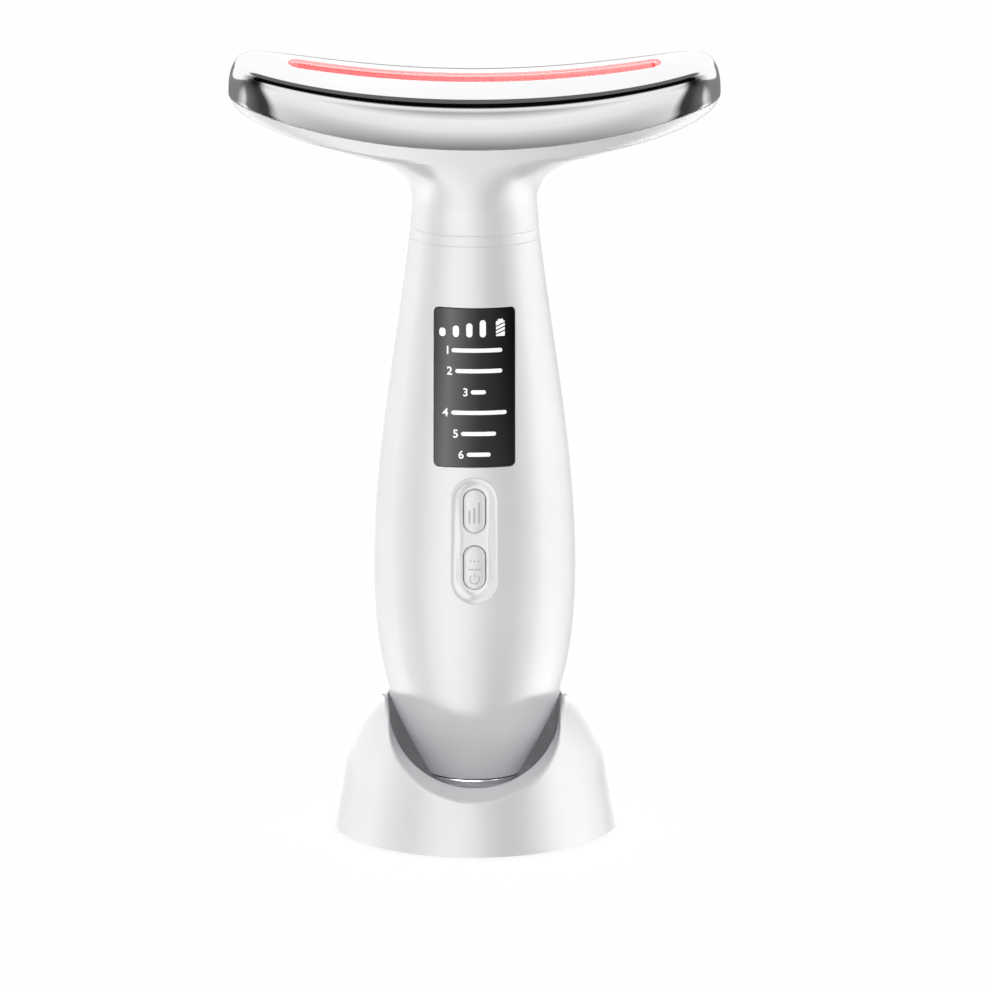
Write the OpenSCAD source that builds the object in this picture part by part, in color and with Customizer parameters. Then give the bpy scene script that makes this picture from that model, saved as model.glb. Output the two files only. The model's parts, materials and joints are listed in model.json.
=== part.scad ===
// Facial toning device: a T-headed handset seated in its desk stand.
// Millimetres. The origin is the middle of the stand's foot, +Z is up, and the display faces -Y.

/* [Head] */
// Length of the head from tip to tip
head_w = 95; // [84:0.5:108]
// Depth of the head, front to back
head_d = 27.4; // [24:0.2:30]
// Height of the head's neck, from the collar to the plate's lower edge at the middle
neck_h = 18.2; // [15:0.1:24]
// Rise of the plate's lower edge from its middle to its tips
edge_rise = 8; // [6:0.1:9]
// Rise of the crown from its middle to its tips
crown_rise = 5.4; // [4:0.1:7]
// Height of the plate from its lower edge to its crown
plate_h = 11; // [9.5:0.1:13]
// Thickness of the plate
plate_t = 1.2; // [0.8:0.1:1.5]
// Radius of the plate's shoulders
shoulder_r = 2; // [1.6:0.1:3]
// Drop of the crown from its ridge to the shoulders
crown_drop = 1.2; // [0.8:0.1:2]
// Length of the light slot
slot_l = 72; // [60:1:76]
// Width of the light slot
slot_w = 2.6; // [1.8:0.1:4]
// Wall of the head housing
head_wall = 2; // [1.5:0.1:2.5]

/* [Handle] */
// Widest part of the handle, side to side
belly_w = 39.8; // [36:0.2:46]
// Height of the widest part above the handset's foot
belly_z = 45; // [40:1:50]
// Width of the handle at its foot
foot_w = 17.6; // [16:0.2:20]
// Width at the collar below the head
neck_w = 25.4; // [24:0.2:28]
// Depth of the handle as a share of its width
depth_ratio = 0.76; // [0.74:0.01:0.9]
// Wall of the handle's shells
wall = 2; // [1.6:0.1:2.4]
// Height of the top of the shells above the handset's foot
shell_top = 110.3; // [106:0.1:114]
// Height of the collar between the shells and the head
collar_h = 2; // [1.5:0.1:3]
// Height of the cooling cap
cap_h = 2.6; // [2:0.1:4]

/* [Display] */
// Width of the display window
window_w = 15.9; // [12:0.1:18]
// Height of the display window
window_h = 31; // [26:0.5:34]
// From the top of the shells down to the window's middle
window_drop = 27.4; // [25:0.1:30]
// Corner radius of the window
window_r = 1; // [0.5:0.1:3]

/* [Buttons] */
// From the window's middle down to the middle between the buttons
dish_drop = 30; // [29:0.1:31]
// Width of the dish beside a button
dish_side = 2.45; // [2:0.05:3]
// Width of the dish above and below the buttons
dish_end = 2.6; // [2:0.1:3.4]
// Depth of the dish below the handle's surface
dish_deep = 1.5; // [1:0.1:2]
// Width of a button
button_w = 4.2; // [3.6:0.1:5]
// Height of a button
button_h = 8.6; // [7:0.1:9.2]
// Land between the two buttons
button_land = 2.7; // [2:0.1:3.6]
// How far a button stands above the dish
button_proud = 0.7; // [0.4:0.1:1]
// Travel of a button
button_travel = 0.4; // [0.3:0.05:0.5]
// Gap round a button
button_gap = 0.15; // [0.1:0.05:0.3]

/* [Stand] */
// Width of the stand at its foot
stand_w = 55.6; // [52:0.2:66]
// Radius of the stand's dome
dome_r = 26.2; // [25:0.1:32]
// Height of the dome's middle
dome_z = 7.2; // [5:0.1:9]
// Height of the stand's rim
rim_z = 25.8; // [23:0.1:27]
// Wall of the stand
stand_wall = 2; // [1.6:0.1:2.4]
// Height of the pocket's floor
pocket_z = 8.3; // [7.5:0.1:10]
// Radius of the pocket at its floor
pocket_r = 15.3; // [13:0.1:16]
// Depth of the seat in the pocket's floor
seat_deep = 0.8; // [0.5:0.1:1.2]
// Gap between the handset and the pocket's rim
pocket_gap = 0.4; // [0.3:0.1:1.5]
// Half the width of the front scoop
scoop_r = 16.6; // [12:0.1:16.8]
// Height of the lowest point of the scoop
scoop_z = 11.1; // [10:0.1:14]
// Height at which the scoop's sides run straight up
scoop_side_z = 23; // [20:0.1:24]

/* [Inside] */
// Radius of the battery cell
cell_r = 7.1; // [6:0.1:7.4]
// Length of the battery cell
cell_l = 50; // [40:1:52]
// Radius of the vibration motor
motor_r = 5; // [4:0.1:5.2]
// Length of the vibration motor
motor_l = 17; // [12:1:18]
// Radius of the motor's shaft
shaft_r = 0.75; // [0.5:0.05:1]
// Thickness of the circuit boards
board_t = 1.2; // [0.8:0.1:1.6]

/* [Hidden] */

$fn = 96;
tiny = 0.01;
// Running and seating clearances
fit = 0.1;
slack = 0.3;
seal_h = 0.3;

// Heights in the handset are counted from its foot, which stands on the pocket's seat.
seat_z = pocket_z - seat_deep;
foot_r = foot_w / 2;
belly_r = belly_w / 2;
neck_r = neck_w / 2;
shell_z = cap_h + seal_h;
collar_top = shell_top + collar_h;
edge_z = collar_top + neck_h;
window_z = shell_top - window_drop;
dish_z = window_z - dish_drop;
button_pitch = button_h + button_land;
dish_w = button_w + 2 * dish_side;
dish_h = button_pitch + button_h + 2 * dish_end;
// A height above everything, for cuts that run right through
sky = 200;

// A cubic curve through four control points, and its direction
function curve(p, t) =
    pow(1 - t, 3) * p[0] + 3 * t * pow(1 - t, 2) * p[1] + 3 * t * t * (1 - t) * p[2] + t * t * t * p[3];
function curve_dir(p, t) =
    let (d = pow(1 - t, 2) * (p[1] - p[0]) + 2 * t * (1 - t) * (p[2] - p[1]) + t * t * (p[3] - p[2]))
    d / norm(d);
function reversed(list) = [for (i = [len(list) - 1 : -1 : 0]) list[i]];

// ---- Handle outline -------------------------------------------------------

// Half the handle's outline as [half width, height]: a full curve up to the belly, then a long taper
foot_flare = [6.5, 12];
belly_run = 24;
taper_run = (collar_top - belly_z) / 3;
neck_slope = 0.11;
foot_curve = [[foot_r, cap_h], [foot_r, cap_h] + foot_flare,
    [belly_r, belly_z - belly_run], [belly_r, belly_z]];
taper_curve = [[belly_r, belly_z], [belly_r, belly_z + taper_run],
    [neck_r + neck_slope * taper_run, collar_top - taper_run], [neck_r, collar_top]];
outline_steps = 40;
handle_points = concat(
    [for (i = [0 : outline_steps - 1]) let (p = curve(foot_curve, i / outline_steps)) [p[1], p[0]]],
    [for (i = [0 : outline_steps]) let (p = curve(taper_curve, i / outline_steps)) [p[1], p[0]]]);
function handle_r(z) = lookup(z, handle_points);

// Points up the handle from z0 to z1, drawn in by inset
function handle_line(z0, z1, inset, steps) =
    [for (i = [0 : steps]) let (z = z0 + (z1 - z0) * i / steps) [handle_r(z) - inset, z]];

// Depth of the handle's surface in front of its axis, at height z and x off the middle
function front_y(z, x = 0, inset = 0) =
    let (r = handle_r(z) - inset) depth_ratio * r * sqrt(1 - pow(x / r, 2));

module handset_place() {
    translate([0, 0, seat_z]) children();
}

// Turns a profile round the handle's axis and flattens it to the handle's oval
module oval_turn(turn = 360) {
    scale([1, depth_ratio, 1]) rotate_extrude(angle = turn) children();
}

// A solid of the handle's outline between two heights, drawn in by inset
module handle_core(z0, z1, inset, steps = 12) {
    oval_turn() polygon(concat([[0, z0]], handle_line(z0, z1, inset, steps), [[0, z1]]));
}

// A flat plate standing upright, from y0 to y1
module upright(y0, y1) {
    translate([0, y1, 0]) rotate([90, 0, 0]) linear_extrude(y1 - y0) children();
}

module pill(w, h) {
    square([w, h - w], center = true);
    for (side = [-1, 1]) translate([0, side * (h - w) / 2]) circle(d = w);
}

module rounded_rect(w, h, r) {
    square([w - 2 * r, h], center = true);
    square([w, h - 2 * r], center = true);
    for (x = [-1, 1], y = [-1, 1]) translate([x * (w / 2 - r), y * (h / 2 - r)]) circle(r);
}

// ---- Lofted head ----------------------------------------------------------

ring_n = 64;
tip = head_w / 2;
half_d = head_d / 2;
edge_bow = edge_rise / (tip * tip);
crown_bow = crown_rise / (tip * tip);
neck_depth = depth_ratio * neck_r;
oval_power = 2;
edge_power = 2.9;
crown_power = 4.5;
depth_power = 1.3;
tip_round = 3.4;
plate_seam = 0.05;

// One ring of the head: a rounded oblong a by b that bows up along its length and turns into
// a straight slot with round ends as slot_share goes to 1
function ring(a, b, power, z, bow, slot_share = 0) =
    [for (i = [0 : ring_n - 1])
        let (turn = 360 * i / ring_n, c = cos(turn), x = a * c,
            oblong = b * pow(max(1 - pow(abs(c), power), 0), 1 / power),
            over = max(abs(x) - (a - b), 0), slot = sqrt(max(b * b - over * over, 0)))
        [x, sign(sin(turn)) * (oblong + (slot - oblong) * slot_share), z + bow * x * x]];

// A closed skin through rings that follow each other out and back again
module ring_shell(rings) {
    n = ring_n;
    m = len(rings);
    polyhedron(
        points = [for (r = rings) each r],
        faces = [for (j = [0 : m - 1], i = [0 : n - 1])
            let (a = j * n, b = ((j + 1) % m) * n, k = (i + 1) % n)
            each [[a + i, b + i, b + k], [a + i, b + k, a + k]]]);
}

// The head's outline seen from the front: neck, fillet, underside, tip
waist_z = collar_top + 4.9;
waist_in = 0.3;
under = [tip - 20.1, waist_z + 10.9];
under_run = 9;
under_slope = 0.31;
fillet_rise = 5;
tip_drop = 4.3;
neck_curve = [[neck_r, collar_top], [neck_r, collar_top + 1.6], [neck_r - waist_in - 0.1, waist_z - 1.5],
    [neck_r - waist_in, waist_z]];
fillet_curve = [neck_curve[3], neck_curve[3] + [0, fillet_rise],
    under - [under_run, under_slope * under_run], under];
tip_curve = [under, under + [under_run + 1, under_slope * (under_run + 1)],
    [tip, edge_z + edge_rise - tip_drop], [tip, edge_z + edge_rise]];
neck_steps = 2;
fillet_steps = 7;
tip_steps = 7;
function stations(p, steps, last) =
    [for (i = [0 : last]) [curve(p, i / steps), curve_dir(p, i / steps)]];
outline = concat(
    stations(neck_curve, neck_steps, neck_steps - 1),
    stations(fillet_curve, fillet_steps, fillet_steps - 1),
    stations(tip_curve, tip_steps, tip_steps));

// The ring of the housing at one point of that outline, drawn in by inset
function housing_ring(p, inset) =
    let (a = p[0][0], share = max(a - neck_r, 0) / (tip - neck_r),
        bow = edge_bow * share, mid_z = p[0][1] - bow * a * a,
        up = max(mid_z - waist_z, 0) / (edge_z - waist_z),
        n = [-p[1][1], p[1][0]] * inset,
        depth = neck_depth + (half_d - neck_depth) * pow(up, depth_power))
    ring(a + n[0], depth - inset * (depth_ratio + (1 - depth_ratio) * up),
        oval_power + (edge_power - oval_power) * min(2 * share, 1), mid_z + n[1], bow);

// Height of the housing's inner floor x off the middle
function floor_z(x) = lookup(x,
    [for (p = outline) [p[0][0] - p[1][1] * head_wall, p[0][1] + p[1][0] * head_wall]]);

// The plate's cross-section as [inset from the edge, height]: flank, shoulder and crown
shoulder_turn = 71;
flank_h = plate_h - crown_drop - shoulder_r * sin(shoulder_turn);
flank_bulge = 0.25;
function plate_line(t, flank_steps, shoulder_steps, crown_steps) =
    let (shoulder_y = half_d - shoulder_r + (shoulder_r - t) * cos(shoulder_turn), slot_y = slot_w / 2)
    concat(
        [for (i = [0 : flank_steps - 1]) let (s = i / flank_steps)
            [t + flank_bulge * pow(1 - s, 2), flank_h * s]],
        [for (i = [0 : shoulder_steps - 1]) let (s = shoulder_turn * i / shoulder_steps)
            [shoulder_r - (shoulder_r - t) * cos(s), flank_h + (shoulder_r - t) * sin(s)]],
        [for (i = [0 : crown_steps]) let (y = shoulder_y + (slot_y - shoulder_y) * i / crown_steps)
            [half_d - y, plate_h - t - crown_drop * pow(y / shoulder_y, 2)]]);
function plate_ring(p) =
    let (in_share = max(p[0], 0) / (half_d - slot_w / 2), h_share = p[1] / plate_h,
        rounding = tip_round * pow(h_share, 3) * (1 - in_share))
    ring(tip - (tip - slot_l / 2) * in_share - rounding, half_d - p[0],
        edge_power + (crown_power - edge_power) * pow(h_share, 2),
        edge_z + plate_seam + p[1], edge_bow + (crown_bow - edge_bow) * h_share, pow(in_share, 3));

// A band that follows the crown, between two depths below it
function crown_z(x) = edge_z + plate_seam + plate_h + crown_bow * x * x;
band_steps = 24;
module crown_band(half_l, w, top, bottom) {
    function line(drop) = [for (i = [0 : band_steps])
        let (x = half_l * (2 * i / band_steps - 1)) [x, crown_z(x) - drop]];
    upright(-w / 2, w / 2) polygon(concat(line(top), reversed(line(bottom))));
}

function plate_rings(t, flank_steps, shoulder_steps, crown_steps) =
    [for (p = plate_line(t, flank_steps, shoulder_steps, crown_steps)) plate_ring(p)];
module head_plate() {
    color("silver") handset_place()
        ring_shell(concat(plate_rings(0, 4, 4, 5), reversed(plate_rings(plate_t, 2, 2, 3))));
}

// ---- Head internals -------------------------------------------------------

flange_w = 5;
flange_t = 1.1;
chip_size = 2;
chip_t = 0.7;
chip_count = 13;
strip_t = 0.6;
frame_w = 14;
frame_half_l = slot_l / 2 - 2;
frame_deep = 7.6;
post_x = 22;
post_r = 3;
flange_top = plate_t + 0.2;
chip_top = flange_top + flange_t;
strip_top = chip_top + chip_t;
frame_top = strip_top + strip_t;
strip_half_l = slot_l / 2 - 3;
pin_x = 14;
pin_y = 5.2;
pin_r = 0.8;
pin_tail = 1;
lead_r = 0.6;
lead_x = 6.4;
lead_y = 1.8;

module led_diffuser() {
    color("salmon") handset_place() intersection() {
        union() {
            crown_band(slot_l / 2, slot_w, 0, chip_top);
            crown_band(slot_l / 2, flange_w, flange_top, chip_top);
        }
        union() {
            translate([0, 0, edge_z]) linear_extrude(2 * plate_h) rotate(90)
                pill(slot_w - 2 * fit, slot_l - 2 * slack);
            crown_band(slot_l / 2 - flange_w, flange_w, flange_top - tiny, chip_top + 1);
        }
    }
}

module led_board() {
    color("whitesmoke") handset_place() crown_band(strip_half_l, flange_w - 2 * fit, strip_top, frame_top);
}

module led_chips() {
    pitch = 2 * (strip_half_l - chip_size) / (chip_count - 1);
    color("lightyellow") handset_place() for (i = [0 : chip_count - 1]) {
        x = (i - (chip_count - 1) / 2) * pitch;
        translate([x, 0, crown_z(x) - strip_top + chip_t / 2])
            rotate([0, -atan(2 * crown_bow * x), 0])
            cube([chip_size, chip_size, chip_t - 0.06], center = true);
    }
}

module head_frame() {
    color("gainsboro") handset_place() difference() {
        union() {
            crown_band(frame_half_l, frame_w, strip_top - chip_t, frame_deep);
            for (x = [-post_x, post_x])
                translate([x, 0, floor_z(post_x + post_r) + fit])
                    cylinder(r = post_r, h = crown_z(post_x) - frame_deep + 1 - floor_z(post_x + post_r));
        }
        crown_band(frame_half_l + 1, flange_w, -1, frame_top + fit / 2);
        for (x = [-pin_x, pin_x]) translate([x, pin_y, 0]) cylinder(r = pin_r + fit / 2, h = sky);
        for (x = [-lead_x, lead_x], y = [-lead_y, lead_y])
            translate([x, y, 0]) cylinder(r = lead_r + fit, h = sky);
    }
}

module electrode_pins() {
    drop = crown_drop * pow(pin_y / (half_d - shoulder_r), 2);
    color("gold") handset_place() for (x = [-pin_x, pin_x])
        translate([x, pin_y, crown_z(x) - frame_deep - pin_tail])
            cylinder(r = pin_r, h = frame_deep + pin_tail - plate_t - drop - slack);
}

module head_housing() {
    color("white") handset_place()
        ring_shell(concat([for (p = outline) housing_ring(p, 0)],
            reversed([for (p = outline) housing_ring(p, head_wall)])));
}

// ---- Collar and shells ----------------------------------------------------

spigot_h = 2.5;
spigot_t = 1.2;
band_in = 0.05;
module neck_collar() {
    low = neck_r - wall - fit;
    high = neck_r - head_wall - waist_in - 2 * fit;
    color("gainsboro") handset_place() oval_turn() polygon([
        [low - spigot_t, shell_top - spigot_h], [low, shell_top - spigot_h],
        [low, shell_top], [handle_r(shell_top) - band_in, shell_top],
        [neck_r - band_in, collar_top], [high, collar_top],
        [high, collar_top + spigot_h], [high - spigot_t, collar_top + spigot_h],
        [high - spigot_t, shell_top]
    ]);
}

cap_rim = 1.9;
cap_spigot_r = foot_r - cap_rim;
shell_floor = 2;
// Half of the handle's skin, with the foot's opening for the cooling cap
module half_skin() {
    floor_top = shell_z + shell_floor;
    outer = concat(handle_line(shell_z, belly_z, 0, 14), handle_line(belly_z + 4, shell_top, 0, 13));
    inner = concat(handle_line(floor_top, belly_z, wall, 12), handle_line(belly_z + 6, shell_top, wall, 10));
    oval_turn(180) polygon(concat([[cap_spigot_r + fit, shell_z]], outer, reversed(inner),
        [[cap_spigot_r + fit, floor_top]]));
}

boss_x = 8.4;
boss_z = [dish_z - 11.4, dish_z + 9.1];
boss_r = 1.6;
screw_r = 0.7;
screw_bite = 1.8;
screw_head_r = 1.4;
screw_head_h = 0.9;
surround_t = 1.7;
flange_y = 0.6;
switch_t = 1.8;
dish_floor_y = -(front_y(dish_z) - dish_deep);
surround_back_y = dish_floor_y + surround_t;
switch_y = surround_back_y + fit + flange_y + button_travel + 0.07;
main_board_y = switch_y + switch_t;
module front_shell() {
    color("white") handset_place() difference() {
        union() {
            rotate([0, 0, 180]) half_skin();
            for (x = [-boss_x, boss_x], z = boss_z)
                translate([x, main_board_y, z]) rotate([90, 0, 0])
                    cylinder(r = boss_r, h = front_y(z, boss_x + boss_r, wall) + main_board_y + wall / 4);
        }
        upright(-2 * belly_r, -1) translate([0, window_z]) rounded_rect(window_w, window_h, window_r);
        upright(-2 * belly_r, -1) translate([0, dish_z]) pill(dish_w, dish_h);
        for (x = [-boss_x, boss_x], z = boss_z)
            translate([x, main_board_y + 1, z]) rotate([90, 0, 0])
                cylinder(r = screw_r + fit / 2, h = screw_bite + 1.4);
    }
}

sink_gap = 3.2;
stack_z = shell_z + shell_floor + 0.7;
module_size = [10, 7.6, 2.6];
pad_t = 0.5;
sink_size = [12, 8.6, 11.6];
sink_top = stack_z + module_size[2] + pad_t + sink_size[2];
charge_board_drop = 4.5;
usb_z = sink_top + sink_gap + charge_board_drop;
usb_w = 8.9;
usb_h = 3.3;
usb_l = 6.6;
usb_recess = 0.6;
usb_gap = 0.15;

tab_z = [30, 52, 76, 101];
tab_h = 4;
tab_t = 1.2;
tab_reach = 2;
// A tab that holds the two halves in line: rooted in the rear wall, it laps inside the front wall
module shell_tab(z) {
    inner_r = min(handle_r(z - tab_h / 2), handle_r(z + tab_h / 2)) - wall;
    inside = inner_r * sqrt(1 - pow(tab_reach / (depth_ratio * inner_r), 2));
    for (side = [-1, 1]) scale([side, 1, 1]) translate([0, 0, z - tab_h / 2]) {
        translate([inside - slack - tab_t, -tab_reach, 0]) cube([tab_t, tab_reach + 3, tab_h]);
        translate([inside - slack - tab_t, 0.5, 0]) cube([tab_t + slack + wall / 2, 2.5, tab_h]);
    }
}

module rear_shell() {
    color("white") handset_place() difference() {
        union() {
            half_skin();
            for (z = tab_z) shell_tab(z);
        }
        upright(1, 2 * belly_r) translate([0, usb_z]) rotate(90)
            pill(usb_h + 2 * usb_gap, usb_w + 2 * usb_gap);
    }
}

// ---- Display --------------------------------------------------------------

window_tilt = atan((front_y(window_z - window_h / 2) - front_y(window_z + window_h / 2)) / window_h);
guide_w = window_w - 1.3;
guide_h = window_h - 2;
guide_deep = 3.7;
module window_place() {
    translate([0, -front_y(window_z), window_z]) rotate([-window_tilt, 0, 0]) children();
}

module display_window() {
    z0 = window_z - window_h / 2 - 1;
    z1 = window_z + window_h / 2 + 1;
    color("black") handset_place() intersection() {
        difference() {
            handle_core(z0, z1, 0, 8);
            handle_core(z0 - 1, z1 + 1, wall, 8);
        }
        upright(-2 * belly_r, -1) translate([0, window_z])
            rounded_rect(window_w - 2 * fit, window_h - 2 * fit, window_r);
    }
}

row_pitch = 0.1303 * window_h;
row_z = [for (i = [0 : 5]) row_pitch * (1.83 - i)];
row_w = window_w - 4.9;
row_h = 0.6 * row_pitch;
bar_x = [for (share = [-0.39, -0.226, -0.063, 0.1, 0.314]) share * window_w];
bar_w = 1.3;
bar_z = [0.318 * window_h, 0.435 * window_h];
module display_light_guide() {
    color("dimgray") handset_place() difference() {
        intersection() {
            handle_core(window_z - window_h / 2 - 2, window_z + window_h / 2 + 2, wall + fit / 2, 8);
            window_place() translate([-guide_w / 2, 0, -guide_h / 2]) cube([guide_w, guide_deep, guide_h]);
        }
        window_place() {
            for (z = row_z) translate([-row_w / 2, -1, z - row_h / 2]) cube([row_w, guide_deep + 2, row_h]);
            for (x = bar_x) translate([x - bar_w / 2, -1, bar_z[0]])
                cube([bar_w, guide_deep + 2, bar_z[1] - bar_z[0]]);
        }
    }
}

display_board_w = guide_w + 0.6;
module display_board() {
    color("darkgreen") handset_place() intersection() {
        window_place() translate([-display_board_w / 2, guide_deep, -guide_h / 2])
            cube([display_board_w, board_t, guide_h]);
        handle_core(window_z - window_h, window_z + window_h, wall + slack, 8);
    }
}

// Lamps on the display's board, three behind each row and one behind each mark of the top line
lamp_size = [1.1, 0.5, 0.8];
module display_lamps() {
    color("lightyellow") handset_place() window_place() {
        for (z = row_z, x = [-0.3, 0, 0.3]) display_lamp(x * row_w, z);
        for (x = bar_x) display_lamp(x, (bar_z[0] + bar_z[1]) / 2);
    }
}
module display_lamp(x, z) {
    translate([x - lamp_size[0] / 2, guide_deep - lamp_size[1], z - lamp_size[2] / 2]) cube(lamp_size);
}

// The flat ribbon from the back of the display's board down to the top edge of the main board
ribbon_w = 10;
ribbon_t = 0.3;
ribbon_lap = 2.5;
function display_back_y(z) = (guide_deep + board_t) / cos(window_tilt) - front_y(window_z)
    + (z - window_z) * tan(window_tilt);
module display_ribbon() {
    high = window_z - guide_h / 2 + ribbon_lap;
    low = main_board_z[1] + tiny;
    y0 = display_back_y(high) + fit;
    y1 = max(main_board_y + slack, display_back_y(low) + 2 * ribbon_t);
    color("orange") handset_place() rotate([90, 0, 90]) translate([0, 0, -ribbon_w / 2])
        linear_extrude(ribbon_w)
        polygon([[y0, high], [y1, low], [y1 + ribbon_t, low], [y0 + ribbon_t, high]]);
}

// ---- Buttons --------------------------------------------------------------

stem_r = 0.9;
stem_in = 0.4;
button_crown = 12;
switch_size = 6;
dish_rim = 0.55;
dish_slope = 1.1;

// A pill-shaped cut that widens from y1 out to y0
module pill_cone(w, h, y0, y1, grow) {
    translate([0, y1, 0]) rotate([90, 0, 0]) {
        for (side = [-1, 1]) translate([0, side * (h - w) / 2, 0])
            cylinder(r1 = w / 2, r2 = w / 2 + grow, h = y1 - y0);
        rotate([90, 0, 0]) translate([0, 0, -(h - w) / 2]) linear_extrude(h - w)
            polygon([[-w / 2, 0], [w / 2, 0], [w / 2 + grow, y1 - y0], [-w / 2 - grow, y1 - y0]]);
    }
}

module button_surround() {
    face_y = -front_y(dish_z) - 0.5;
    color("white") handset_place() difference() {
        intersection() {
            handle_core(dish_z - dish_h, dish_z + dish_h, 0, 10);
            upright(face_y - 2, surround_back_y) translate([0, dish_z]) pill(dish_w - fit, dish_h - fit);
        }
        translate([0, 0, dish_z])
            pill_cone(dish_w - 2 * (dish_rim + dish_slope), dish_h - 2 * (dish_rim + dish_slope),
                face_y, dish_floor_y, dish_slope * (dish_floor_y - face_y) / dish_deep);
        for (side = [-1, 1]) upright(face_y, 0) translate([0, dish_z + side * button_pitch / 2])
            pill(button_w + 2 * button_gap, button_h + 2 * button_gap);
    }
}

// A crowned pill button with a retaining flange behind the surround and a stem into its switch
module button(z) {
    face_y = dish_floor_y - button_proud;
    flange_front = surround_back_y + fit;
    flange_out = 1;
    union() {
        intersection() {
            upright(face_y - 1, flange_front) translate([0, z]) pill(button_w, button_h);
            translate([0, face_y + button_crown, z - button_h]) cylinder(r = button_crown, h = 2 * button_h);
        }
        upright(flange_front - tiny, flange_front + flange_y) translate([0, z])
            pill(button_w + flange_out, button_h + flange_out);
        translate([0, switch_y + stem_in, z]) rotate([90, 0, 0])
            cylinder(r = stem_r, h = switch_y + stem_in - flange_front - flange_y + tiny);
    }
}

module tact_switch(z) {
    difference() {
        translate([-switch_size / 2, switch_y, z - switch_size / 2])
            cube([switch_size, switch_t, switch_size]);
        translate([0, switch_y + stem_in + button_travel + fit, z]) rotate([90, 0, 0])
            cylinder(r = stem_r + fit, h = switch_t + 1);
    }
}

upper_z = dish_z + button_pitch / 2;
lower_z = dish_z - button_pitch / 2;
module level_button() {
    color("gainsboro") handset_place() button(upper_z);
}
module mode_button() {
    color("gainsboro") handset_place() button(lower_z);
}
module level_switch() {
    color("dimgray") handset_place() tact_switch(upper_z);
}
module mode_switch() {
    color("dimgray") handset_place() tact_switch(lower_z);
}

main_board_w = 21.5;
main_board_z = [dish_z - 14.9, dish_z + 12.6];
module main_board() {
    color("darkgreen") handset_place() difference() {
        translate([-main_board_w / 2, main_board_y, main_board_z[0]])
            cube([main_board_w, board_t, main_board_z[1] - main_board_z[0]]);
        for (x = [-boss_x, boss_x], z = boss_z)
            translate([x, 0, z]) rotate([90, 0, 0]) cylinder(r = screw_r + fit, h = 2 * belly_r);
    }
}

// Chips on the back of the main board, as [x, height from the board's foot, width, height, thickness]
chips = [[7.6, 13, 5, 5, 0.9], [-7.6, 12, 4.4, 4.4, 1.6], [-7.2, 19, 3, 2, 1.2], [7.2, 19.5, 3, 2, 1.2]];
module board_chips() {
    color("dimgray") handset_place() for (c = chips)
        translate([c[0] - c[2] / 2, main_board_y + board_t, main_board_z[0] + c[1] - c[3] / 2])
            cube([c[2], c[4], c[3]]);
}

module board_screws() {
    color("silver") handset_place() for (x = [-boss_x, boss_x], z = boss_z)
        translate([x, main_board_y + board_t, z]) {
            rotate([90, 0, 0]) cylinder(r = screw_r, h = board_t + screw_bite);
            rotate([-90, 0, 0]) cylinder(r = screw_head_r, h = screw_head_h);
        }
}

// ---- Power and vibration --------------------------------------------------

cell_z = usb_z + 6;
cradle_t = 1;
cradle_z = cell_z - fit - cradle_t;
cradle_top = cell_z + cell_l + fit + cradle_t;
cell_y = front_y(cradle_top, 0, wall) - cell_r - cradle_t - 2 * fit;
module battery_cell() {
    color("steelblue") handset_place() translate([0, cell_y, cell_z]) cylinder(r = cell_r, h = cell_l);
}

module battery_cradle() {
    r = cell_r + fit;
    rib_z = cell_z + 8;
    rib_h = 3;
    rib_y = cell_y + r + cradle_t / 2;
    color("gainsboro") handset_place() {
        difference() {
            translate([0, cell_y, cradle_z]) cylinder(r = r + cradle_t, h = cradle_top - cradle_z);
            translate([0, cell_y, cell_z - fit]) cylinder(r = r, h = cell_l + 2 * fit);
            translate([-belly_r, cell_y + 1 - 2 * belly_r, 0]) cube([2 * belly_r, 2 * belly_r, sky]);
        }
        translate([-1, rib_y, rib_z]) cube([2, front_y(rib_z, 1, wall) - slack - rib_y, rib_h]);
    }
}

motor_y = 0.6;
motor_gap = 1.4;
motor_z = cradle_top + motor_gap;
motor_top = motor_z + motor_l;
shaft_in = 5.8;
shaft_out = 0.8;
weight_h = 4;
weight_r = 3.6;
weight_flat = 1.2;
module vibration_motor() {
    color("silver") handset_place() translate([0, motor_y, motor_z]) difference() {
        cylinder(r = motor_r, h = motor_l);
        translate([0, 0, motor_l - shaft_in - 2 * fit]) cylinder(r = shaft_r + fit / 2, h = shaft_in + 1);
    }
}

module motor_shaft() {
    color("gray") handset_place() translate([0, motor_y, motor_top - shaft_in])
        cylinder(r = shaft_r, h = shaft_in + shaft_out + weight_h);
}

module eccentric_weight() {
    color("dimgray") handset_place() translate([0, motor_y, motor_top + shaft_out]) difference() {
        cylinder(r = weight_r, h = weight_h);
        translate([-weight_r, -2 * weight_r - weight_flat, -1])
            cube([2 * weight_r, 2 * weight_r, weight_h + 2]);
        translate([0, 0, -1]) cylinder(r = shaft_r, h = weight_h + 2);
    }
}

bracket_z = motor_z + 5.5;
bracket_h = 5;
bracket_t = 1.3;
module motor_bracket() {
    ear = handle_r(bracket_z + bracket_h) - wall - slack;
    color("gainsboro") handset_place() difference() {
        union() {
            translate([0, motor_y, bracket_z]) cylinder(r = motor_r + bracket_t, h = bracket_h);
            translate([-ear, -1, bracket_z]) cube([2 * ear, 2, bracket_h]);
        }
        translate([0, motor_y, bracket_z - 1]) cylinder(r = motor_r + fit / 2, h = bracket_h + 2);
    }
}

// ---- Cooling foot ---------------------------------------------------------

module cooling_cap() {
    edge = 0.6;
    r = foot_r - fit;
    color("silver") handset_place() {
        scale([1, depth_ratio, 1]) cylinder(r1 = r - edge, r2 = r, h = edge);
        translate([0, 0, edge]) linear_extrude(cap_h - edge) scale([1, depth_ratio]) circle(r);
        translate([0, 0, cap_h]) linear_extrude(stack_z - cap_h) scale([1, depth_ratio]) circle(cap_spigot_r);
    }
}

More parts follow.
